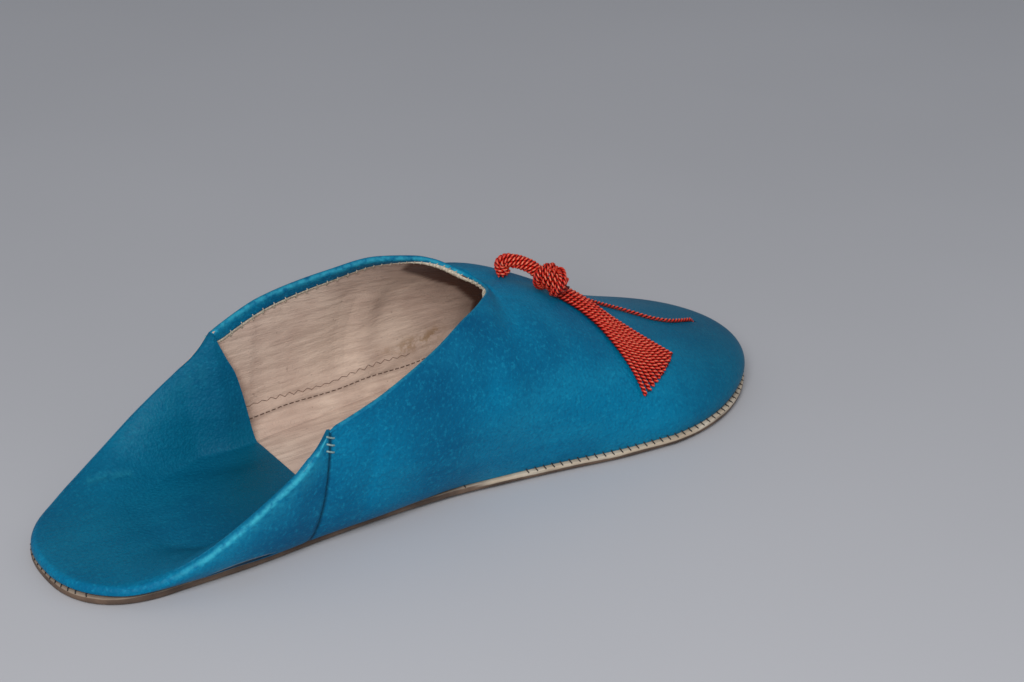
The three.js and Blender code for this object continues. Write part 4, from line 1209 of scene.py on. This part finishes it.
class SoleSettings(bpy.types.PropertyGroup):
    edge_colour: colour_property("Edge", "Pale cut edge of the sole", shade(186, 168, 146))
    edge_light: colour_property("Light edge", "Palest parts of the edge", shade(212, 200, 182))
    # Colour of the leather underneath, and of the painted shade on the lower and rear parts of the edge
    brown_and_shade_colour: colour_property("Brown", "Lower and rear part of the edge", shade(78, 62, 52))
    paler_brown_and_shade_colour: colour_property("Light brown", "Brown leather where it is paler", shade(116, 94, 78))
    thread_colour: colour_property("Thread", "Thread that joins sole and upper", shade(40, 34, 34))
    stitch_pitch: size_property("Stitch pitch", "Distance between two stitches", 0.003)


class TasselSettings(bpy.types.PropertyGroup):
    cord_colour: colour_property("Cord", "Main colour of the yarn", shade(206, 28, 4))
    # Colours of the painted shade between the plies and of the painted highlight on them
    cord_shade_colour: colour_property("Cord shade", "Yarn between two plies", shade(58, 4, 2))
    cord_highlight_colour: colour_property("Cord light", "Yarn where it stands out", shade(255, 156, 118))
    pitch: size_property("Twist", "Length of one full twist of a cord", 0.0028)


class StageSettings(bpy.types.PropertyGroup):
    floor_colour: colour_property("Floor", "Pale studio floor", shade(196, 197, 203))
    key_power: bpy.props.FloatProperty(
        name="Key light", description="Power of the main light", default=7.6, min=0, unit="POWER")
    fill_power: bpy.props.FloatProperty(
        name="Fill light", description="Power of the light from the right", default=0.45, min=0,
        unit="POWER")
    world_strength: bpy.props.FloatProperty(
        name="Room light", description="Brightness of the room around", default=0.3, min=0)
    azimuth: bpy.props.FloatProperty(
        name="Camera azimuth", description="Turn of the camera round the shoe", subtype="ANGLE",
        default=math.radians(-34.3))
    elevation: bpy.props.FloatProperty(
        name="Camera elevation", description="Height of the camera above the horizon", subtype="ANGLE",
        default=math.radians(27.4))
    distance: size_property("Camera distance", "From the camera to the middle of the shoe", 0.6927)
    aside: size_property("Camera aside", "How far the camera stands to the right", 0.0324)
    above: size_property("Camera above", "How far the camera stands up", 0.03685)
    lens: bpy.props.FloatProperty(
        name="Lens", description="Focal length", default=75, min=1, unit="CAMERA")


skin_store = {}


def skin_of(settings):
    """The upper's outer surface, worked out once and shared by the pieces laid on it."""
    if not skin_store:
        skin = outer_skin(settings.relief)
        points, _, outward, step, row, _ = skin
        wall = step <= 1
        vamp = (row > 1.6) & (outward[:, 2] > 0.2)
        skin_store.update(
            skin=skin,
            wall=Surface(points[wall], outward[wall]),
            vamp=Surface(points[vamp], outward[vamp]),
            edge=collar_edge(),
        )
    return skin_store


class SLIPPER_OT_upper(bpy.types.Operator):
    """Builds the dyed leather of the upper with its trodden heel, seams and creases"""
    bl_idname = "slipper.upper"
    bl_label = "Upper"

    def execute(self, context):
        settings = context.scene.slipper_upper
        points, faces, outward, step, row, squeeze = skin_of(settings)["skin"]
        seams = [evenly(front_rows(side)[0], 0.4) for side in (NEAR, FAR)]
        seam_gap = np.minimum(*(nearest(points, line)[0] for line in seams))
        groove = SEAM_GROOVE * bell(seam_gap, 0.6) * np.where(step < 1, squeeze, 0)
        thickness = settings.leather_thickness / MM * squeeze
        solid, solid_faces = shell(points, faces, outward, groove, thickness)
        none = np.zeros(len(points))
        # Painted highlight; painted shade on the flap and towards the toe; dark seams with painted shade in
        # the crescent's gap and the toe hole; raw cut edge
        values = {
            "painted_highlight": [self.painted_highlight(points, step, row), none],
            "trodden": [self.trodden(points, step)] * 2,
            "seam": [self.shaded(points, step, row, seam_gap), none],
            "cut": [self.lifted(points, step), none + 1],
        }
        values = {key: np.concatenate(layers) for key, layers in values.items()}
        make_piece("upper_leather", solid, solid_faces, dyed_leather(settings), "upper_leather",
                   ("upper",), values)
        return {"FINISHED"}

    def painted_highlight(self, points, step, row):
        """Painted highlight along the heel's ridge, more on the near side, and two painted highlights on
        the flap: a streak and a glow.
        """
        ridge = bell(step - 1.35, 0.3) * (row < 1) * smooth(points[:, 0], along(0.07), along(0.16))
        ridge = 0.58 * ridge * np.where(points[:, 1] < 0, 1, 0.45)
        return np.clip(ridge + marks(points, FLAP_STREAK_HIGHLIGHT) + marks(points, FLAP_HIGHLIGHT) * (step > 2), 0, 1)

    def trodden(self, points, step):
        """Painted shade: darker on the flap, most in a patch across its middle, and towards the tip of the
        toe.
        """
        tip = smooth(points[:, 0], along(0.74), along(0.93)) * (step <= 1)
        return np.clip(smooth(step, 1.6, 2.2) * (0.5 + marks(points, FLAP_SHADE_PATCH)) + 0.5 * tip, 0, 1)

    def shaded(self, points, step, row, seam_gap):
        """The dark line of the side seams, and painted shade in the gap of the lifted crescent and in the
        hole at the toe.
        """
        seam = 0.9 * bell(seam_gap, 0.42) + 0.8 * lifted_edge(points, step)
        hole = bell(from_hole(points) ** 2, 0.95 ** 2) * (row > 2)
        return np.clip(seam * (step <= 1) + hole, 0, 1)

    def lifted(self, points, step):
        """The raw edge above the crescent where the wall has come off the sole."""
        x, y, z = points.T
        above = smooth(z - seat(x, y), LIFT_HEIGHT - LIFT_BAND, LIFT_HEIGHT + LIFT_BAND)
        lower = lifted_edge(points - LIFT_DEPTH * UP, step) - lifted_edge(points, step)
        return 0.75 * above * lower.clip(0, 1)


class SLIPPER_OT_lining(bpy.types.Operator):
    """Builds the undyed lining inside the upper, with painted shade along its crease, a painted shadow
    under the vamp, a soft fold and a stain
    """
    bl_idname = "slipper.lining"
    bl_label = "Lining"

    def execute(self, context):
        settings = context.scene.slipper_lining
        upper = context.scene.slipper_upper
        points, faces, outward, step, row, squeeze = skin_of(upper)["skin"]
        open_wall = smooth(step, 0.05, 0.2) * smooth(1 - step, 0.05, 0.25) * (step <= 1)
        outer = (upper.leather_thickness / MM + LINING_GAP) * squeeze
        inner = WALL * squeeze + marks(points, *LINING_FOLDS) * open_wall
        solid, solid_faces = shell(points, faces, outward, outer, inner)
        x, z = points[:, 0], points[:, 2]
        # Painted shade along the crease at the lower edge of the patch
        crease = 0.4 * bell(z - patch_line(x), 0.8) * (step < 1) * (row >= 0.9)
        # Painted shadow of the vamp on the lining: beyond a line that falls from the collar towards the
        # toe, and far inside the toe
        shade_from = np.interp(z, (27, 36, 42, 52.5), (48, 39.5, 29, 13.8))
        deep = smooth(x - shade_from, 0, 2.2) * smooth(z, 10, 22)
        values = {
            "crease": crease,
            "stain": 0.65 * np.clip(marks(points, *STAINS), 0, 1),
            "deep": np.maximum(deep, smooth(x, along(0.66), along(0.76))),
        }
        values = {key: np.tile(value, 2) for key, value in values.items()}
        material = lining_leather(settings)
        make_piece("upper_lining", solid, solid_faces, material, "lining_leather", (), values)
        margin = FOOT_MARGIN + WALL - INSOLE_TUCK
        board, board_faces, _ = plate(margin, seat, insole_top, INSOLE_ROUNDING)
        none = np.zeros(len(board))
        # Painted shadow under the vamp on the insole
        values = {"crease": none, "stain": none, "deep": smooth(board[:, 0], along(0.6), along(0.75))}
        make_piece("insole_leather", board, board_faces, material, "lining_leather", ("insole",), values)
        inside = step < 1
        face = Surface((points - outward * inner[:, None])[inside], -outward[inside])
        self.patch_threads(settings, face)
        return {"FINISHED"}

    def patch_threads(self, settings, face):
        """The sewn edges of the patch inside each wall: a thread that runs up and down along the
        shoe as a triangle wave, and below it a row of short stitches."""
        x = np.linspace(-46, 24, 420)[None]
        wave = np.abs((x / ZIGZAG_LENGTH) % 1 - 0.5) * 2
        high = ZIGZAG_HEIGHT + 0.7 * np.sin(x / 9) + 1.3 * wave * (0.7 + 0.3 * np.sin(x / 5))
        stitch = np.arange(-52, 44, RUNNING_PITCH)[:, None] + np.linspace(0, RUNNING_STITCH, 5)[None]
        for name, way, height, radius, colour in (
            ("zigzag", x, high, ZIGZAG_RADIUS, settings.fibre_colour),
            ("running", stitch, patch_line(stitch), RUNNING_RADIUS, settings.dark_brown_and_crease_shade_colour),
        ):
            raw = (np.stack([way, np.full_like(way, side * PATCH_ASIDE), height], axis=-1)
                   for side in (NEAR, FAR))
            parts = [tubes(*face.lay(line, 0.03), radius, THREAD_SIDES) for line in raw]
            make_piece("lining_" + name, *joined(parts), mottled(name + "_thread", colour, 0.9),
                       "lining_leather")


def patch_line(x):
    """Height of the lower edge of the patch inside the wall, which wavers a little."""
    return PATCH_HEIGHT + PATCH_SLOPE * x + PATCH_WAVE * np.sin(x / 5.1)


class SLIPPER_OT_collar(bpy.types.Operator):
    """Builds the turned collar band, its pale lip, the whip stitches and the corner tacks"""
    bl_idname = "slipper.collar"
    bl_label = "Collar"

    def execute(self, context):
        store = skin_of(context.scene.slipper_upper)
        surface, edge = store["wall"], store["edge"]
        band, _ = edge_strip(surface, edge, COLLAR_STEP, BAND_PROFILE, BAND_AT_THROAT)
        points, faces = closed_loft(band)
        # Painted highlight along the rounded crest of the band
        band_highlight = 0.4 * bell(np.arange(band.shape[1]) - 5, 2.2)
        values = {key: np.zeros(len(points)) for key in ("painted_highlight", "trodden", "seam", "cut")}
        values["painted_highlight"][:band.shape[0] * band.shape[1]] = np.tile(band_highlight, len(band))
        leather = bpy.data.materials["dyed_leather"]
        make_piece("collar_band", points, faces, leather, "upper_leather", (), values, 80)
        lip, _ = edge_strip(surface, edge, COLLAR_STEP, LIP_PROFILE, LIP_AT_THROAT)
        thread = mottled("pale_thread", context.scene.slipper_lining.band_stitch, 0.7)
        make_piece("collar_lip", *closed_loft(lip), thread, "lining_leather", (), None, 80)
        self.whip_stitches(surface, edge, thread)
        self.corner_tacks(surface)
        return {"FINISHED"}

    def whip_stitches(self, surface, edge, thread):
        """Slanted stitches over the band's lower edge, closer together at the throat."""
        grid, up = edge_strip(surface, edge, WHIP_STEP, STITCH_PROFILE, STITCH_AT_THROAT)
        spacing = WHIP_PITCH + 2.8 * np.abs(np.linspace(-1, 1, len(grid))) ** 1.2
        start = np.flatnonzero(np.diff(np.floor(np.cumsum(WHIP_STEP / spacing))) > 0)
        start = start[(start > 3) & (start < len(grid) - 6)]
        rows = start[:, None] + np.array([0, 0, 1, 1, 2, 2])[None]
        columns = np.arange(len(STITCH_PROFILE))[None]
        points, faces = tubes(grid[rows, columns], -up[rows, columns], WHIP_RADIUS, THREAD_SIDES)
        make_piece("whip_stitches", points, faces, thread, "lining_leather")

    def corner_tacks(self, surface):
        """Three short stitches across each side seam under the corner, each a low arch."""
        reach = np.linspace(-1, 1, 9)[None]
        z = np.array(TACK_HEIGHTS)[:, None]
        arch = TACK_ARCH * (1 - reach**2) ** 0.7 - 0.12
        parts = []
        for side in (NEAR, FAR):
            seam = front_rows(side)[0]
            x, y = (np.interp(z, seam[:, 2], column) for column in seam.T[:2])
            raw = np.stack([x + TACK_REACH * reach, y + 0 * reach, z - TACK_SLANT * reach], axis=-1)
            parts.append(tubes(*surface.lay(raw, arch), TACK_RADIUS, 8))
        thread = mottled("tack_thread", shade(150, 180, 180), 0.55)
        make_piece("corner_tacks", *joined(parts), thread, "upper_leather")


class SLIPPER_OT_sole(bpy.types.Operator):
    """Builds the outsole, its cut edge pale above with painted brown shade below and behind, and the thread
    that joins it to the upper
    """
    bl_idname = "slipper.sole"
    bl_label = "Sole"

    def execute(self, context):
        settings = context.scene.slipper_sole
        points, faces, level = plate(0, sole_bottom, sole_top, SOLE_ROUNDING)
        values = {"level": level, "ahead": smooth(points[:, 0], -6, 22)}
        make_piece("sole_leather", points, faces, sole_leather(settings), "sole_leather",
                   ("outsole",), values, 60)
        self.seam_stitches(settings)
        return {"FINISHED"}

    def seam_stitches(self, settings):
        """Short stitches from the foot of the upper down to the sole's edge, close together round
        the forefoot and the back of the heel and sparse between them."""
        pitch = settings.stitch_pitch / MM
        paths = []
        for side in (NEAR, FAR):
            u = np.linspace(0, 3, 3000)
            edge = edge_point(u, side)
            way = np.concatenate([[0], np.cumsum(np.linalg.norm(np.diff(edge, axis=0), axis=1))])
            close = (edge[:, 0] > CLOSE_FROM_X) | (u < CLOSE_TO_U)
            rate = np.where(close, 1 / pitch, 1 / (SPARSE_PITCHES * pitch))
            at = u[1:][np.diff(np.floor(np.cumsum(np.gradient(way) * rate) + 0.5)) > 0]
            foot = raised(foot_plan(at, side), seat)
            normal = raised(edge_normal(at, side), 0)
            slant = 0.35 * np.cross(UP, normal)
            margin = np.linalg.norm(edge_point(at, side) - foot[:, :2], axis=1)[:, None]
            # Outwards, upwards and along the edge at five points from the upper to the sole
            path = ((0.1, 0.9, -1), (0.45, 0.55, -0.4), (0.5 * margin + 0.2, 0.12, 0),
                    (margin - 0.3, -0.05, 0.5), (margin - 0.05, -0.4, 1))
            paths.append(np.stack([foot + normal * out + UP * rise + slant * aside
                                   for out, rise, aside in path], axis=1))
        paths = np.concatenate(paths)
        points, faces = tubes(paths, np.broadcast_to(UP, paths.shape), SOLE_THREAD_RADIUS, THREAD_SIDES)
        thread = mottled("sole_thread", settings.thread_colour, 0.7)
        make_piece("sole_stitches", points, faces, thread, "sole_leather")


def knot_frame(vamp):
    """Centre of the knot and its axes: along the fan, across it and off the vamp."""
    centre, up = vamp.drop(np.array([along(KNOT_AT), KNOT_ASIDE]), TASSEL_GAP + KNOT_THICKNESS / 2)
    heading = np.array([math.cos(FAN_HEADING), math.sin(FAN_HEADING), 0])
    ahead = unit(heading - up * (heading @ up))
    return centre, ahead, np.cross(up, ahead), up


def bundle(path, up, strands, radius, twist, diameter, pitch, spacing):
    """Cords laid round a path: each runs beside it at a radius and turns slowly about it."""
    line = evenly(path, spacing)
    share = np.linspace(0, 1, len(line))
    ups = np.stack([np.interp(share, np.linspace(0, 1, len(up)), column) for column in up.T], axis=-1)
    across, over = axes_of(line, ups)
    angle = 2 * np.pi * (np.arange(strands)[:, None] / strands + twist * share[None, :])[..., None]
    away = turned(angle, across[None], over[None])
    return twisted(line[None] + radius * away, away, diameter, pitch, np.arange(strands) * 0.37)


class SLIPPER_OT_tassel(bpy.types.Operator):
    """Builds the corded tassel: its loop, its knot, the fan of cords and the cord to the toe"""
    bl_idname = "slipper.tassel"
    bl_label = "Tassel"

    def execute(self, context):
        settings = context.scene.slipper_tassel
        vamp = skin_of(context.scene.slipper_upper)["vamp"]
        yarn = cord_yarn(settings)
        pitch = settings.pitch / MM
        line, lace = self.toe_cord(vamp, pitch)
        for name, node, (points, faces, out) in (
            ("toe_lace", "toe_cord", lace),
            ("tassel_cords", "tassel_fan", self.fan(vamp, pitch)),
            ("tassel_strands", "tassel_loop", self.loop(vamp, pitch)),
            ("tassel_turns", "tassel_knot", self.knot(vamp, pitch)),
        ):
            piece = make_piece(name, points, faces, yarn, "red_cord", (node,), {"out": out}, 180)
            if node == "toe_cord":
                length = np.linalg.norm(np.diff(line, axis=0), axis=1).sum()
        return {"FINISHED"}

    def toe_cord(self, vamp, pitch):
        """One thin cord that lies on the vamp from behind the fan to a small hole at the toe. Also
        gives every eighth point of its path in metres."""
        at = np.linspace(TOE_CORD["at"][0], TOE_CORD["at"][-1], 241)
        plan = np.stack([along(at), HALF_BALL * toe_way["across"](at)], axis=-1)
        lift = (LACE_DIAMETER / 2 + 0.05) * lerp(-0.3, 1, smooth(at[-1] - at, 0, 0.012))
        line, up = vamp.drop(plan, lift)
        return line[::8] * MM, twisted(line[None], up[None], LACE_DIAMETER, pitch * 1.15)

    def fan(self, vamp, pitch):
        """Cords side by side that spread from the knot, stacked in layers near it."""
        share = np.linspace(0, 1, FAN_CORDS)[:, None]
        t = np.linspace(0, 1, 150)[None, :]
        ahead = np.array([math.cos(FAN_HEADING), math.sin(FAN_HEADING)])
        left = np.array([-ahead[1], ahead[0]])
        layer = np.arange(FAN_CORDS)[:, None] % FAN_LAYERS
        length = FAN_LENGTH * (1 - FAN_SLANT * (1 - share) ** 2)
        aside = FAN_HALF_WIDTH * lerp(fan_edge["near"](t), fan_edge["far"](t), share)
        plan = (along(FAN_AT), FAN_ASIDE) + (t * length)[..., None] * ahead + aside[..., None] * left
        lift = TASSEL_GAP + CORD_DIAMETER * (0.5 + layer * fan_edge["stack"](t) * FAN_NESTING)
        return twisted(*vamp.drop(plan, lift), CORD_DIAMETER, pitch, np.arange(FAN_CORDS) * 0.29)

    def loop(self, vamp, pitch):
        """A bundle of cords that leaves the vamp, rises in an arch and enters the knot."""
        centre, _, across, _ = knot_frame(vamp)
        t = np.linspace(0, 1, 80)
        foot = np.array([along(LOOP_AT), LOOP_ASIDE])
        plan = lerp(foot, centre[:2], loop_way["way"](t)[:, None])
        line, _ = vamp.drop(plan, TASSEL_GAP + LOOP_DIAMETER / 2 * LOOP_FOOT_LIFT)
        line[:, 2] += loop_way["height"](t) * LOOP_HEIGHT
        return bundle(line, np.broadcast_to(across, line.shape), LOOP_CORDS, LOOP_RADIUS, 0.6,
                      CORD_DIAMETER, pitch, LOOP_STEP)

    def knot(self, vamp, pitch):
        """Two turns of four cords that lean against each other round a core, which is wound with
        one cord as a flattened helix."""
        centre, ahead, across, up = knot_frame(vamp)
        flat = KNOT_THICKNESS / KNOT_WIDTH
        reach = KNOT_WIDTH / 2 - LOOP_DIAMETER / 2
        angle = np.linspace(0, 2 * np.pi, 120)[:, None]
        parts = []
        for lean, shift in ((KNOT_LEAN, -KNOT_SPREAD), (-KNOT_LEAN, KNOT_SPREAD)):
            ring = centre + (shift + lean * reach * np.cos(angle)) * ahead
            ring = ring + reach * turned(angle, across, flat * up)
            parts.append(bundle(ring, turned(angle, across, up), KNOT_CORDS, KNOT_TURN_RADIUS, 1.0,
                                KNOT_CORD_DIAMETER, pitch, KNOT_STEP))
        angle = np.linspace(0, 2 * np.pi * CORE_TURNS, CORE_POINTS)[:, None]
        way = np.linspace(-1, 1, CORE_POINTS)[:, None]
        belly = np.sqrt(np.clip(1 - (0.92 * way) ** 2, 0.03, 1)) * (reach - 0.5)
        helix = centre + way * (KNOT_LENGTH / 2 - 0.9) * ahead + belly * turned(angle, across, flat * up)
        parts.append(twisted(helix[None], turned(angle, across, up)[None], CORE_CORD_DIAMETER, pitch))
        return joined(parts)


FLOOR_HALF = 4


class SLIPPER_OT_stage(bpy.types.Operator):
    """Builds the camera, the pale floor and the soft studio lights"""
    bl_idname = "slipper.stage"
    bl_label = "Stage"

    def execute(self, context):
        settings = context.scene.slipper_stage
        self.place_camera(context, settings)
        self.lay_floor(context, settings)
        world = bpy.data.worlds.new("studio")
        world.use_nodes = True
        background = world.node_tree.nodes["Background"]
        background.inputs["Color"].default_value = (0.92, 0.95, 1, 1)
        background.inputs["Strength"].default_value = settings.world_strength
        context.scene.world = world
        context.scene.view_settings.view_transform = "Standard"
        for name, place, size, power, colour in (
            ("key_light", (-0.5, -0.66, 0.68), 0.5, settings.key_power, (1, 0.985, 0.96)),
            ("fill_light", (0.85, -0.7, 0.6), 0.7, settings.fill_power, (0.9, 0.95, 1)),
        ):
            self.add_light(context, name, place, size, power, colour)
        return {"FINISHED"}

    def place_camera(self, context, settings):
        a, e = settings.azimuth, settings.elevation
        back = Vector((math.sin(a) * math.cos(e), -math.cos(a) * math.cos(e), math.sin(e)))
        right = Vector((math.cos(a), math.sin(a), 0))
        camera = bpy.data.objects.new("camera", bpy.data.cameras.new("camera"))
        camera.data.lens = settings.lens
        camera.data.sensor_width = 36
        above = back.cross(right) * settings.above
        camera.location = back * settings.distance + right * settings.aside + above
        camera.rotation_mode = "QUATERNION"
        camera.rotation_quaternion = (-back).to_track_quat("-Z", "Y")
        camera.data.clip_start, camera.data.clip_end = 0.01, 20
        context.scene.collection.objects.link(camera)
        context.scene.camera = camera

    def lay_floor(self, context, settings):
        corners = [(x * FLOOR_HALF, y * FLOOR_HALF, 0) for x, y in ((-1, -1), (1, -1), (1, 1), (-1, 1))]
        mesh = bpy.data.meshes.new("floor")
        mesh.from_pydata(corners, [], [(0, 1, 2, 3)])
        mesh.materials.append(mottled("floor_paper", settings.floor_colour, 0.6, 0.95, 3, 3.0,
                                      {"Specular IOR Level": 0.3}))
        floor = bpy.data.objects.new("floor", mesh)
        context.scene.collection.objects.link(floor)

    def add_light(self, context, name, place, size, power, colour):
        data = bpy.data.lights.new(name, "AREA")
        data.shape = "DISK"
        data.size = size
        data.energy = power
        data.color = colour
        light = bpy.data.objects.new(name, data)
        light.location = place
        light.rotation_mode = "QUATERNION"
        light.rotation_quaternion = (-Vector(place)).to_track_quat("-Z", "Y")
        context.scene.collection.objects.link(light)


class SLIPPER_PT_panel(bpy.types.Panel):
    """Lists the steps that build the slipper"""
    bl_idname = "SLIPPER_PT_panel"
    bl_label = "Slipper"
    bl_space_type = "VIEW_3D"
    bl_region_type = "UI"
    bl_category = "Slipper"

    def draw(self, context):
        for step in STEPS:
            self.layout.operator(step.bl_idname)


STEPS = (
    SLIPPER_OT_stage, SLIPPER_OT_upper, SLIPPER_OT_lining, SLIPPER_OT_collar, SLIPPER_OT_sole,
    SLIPPER_OT_tassel,
)
GROUPS = {
    "slipper_upper": UpperSettings,
    "slipper_lining": LiningSettings,
    "slipper_sole": SoleSettings,
    "slipper_tassel": TasselSettings,
    "slipper_stage": StageSettings,
}
CLASSES = (*GROUPS.values(), *STEPS, SLIPPER_PT_panel)


def register():
    for cls in CLASSES:
        bpy.utils.register_class(cls)
    for name, group in GROUPS.items():
        setattr(bpy.types.Scene, name, bpy.props.PointerProperty(type=group))


def unregister():
    for name in GROUPS:
        delattr(bpy.types.Scene, name)
    for cls in reversed(CLASSES):
        bpy.utils.unregister_class(cls)


def main():
    """Builds the whole slipper."""
    register()
    bpy.ops.slipper.stage()
    bpy.ops.slipper.upper()
    bpy.ops.slipper.lining()
    bpy.ops.slipper.collar()
    bpy.ops.slipper.sole()
    bpy.ops.slipper.tassel()


if __name__ == "__main__":
    main()
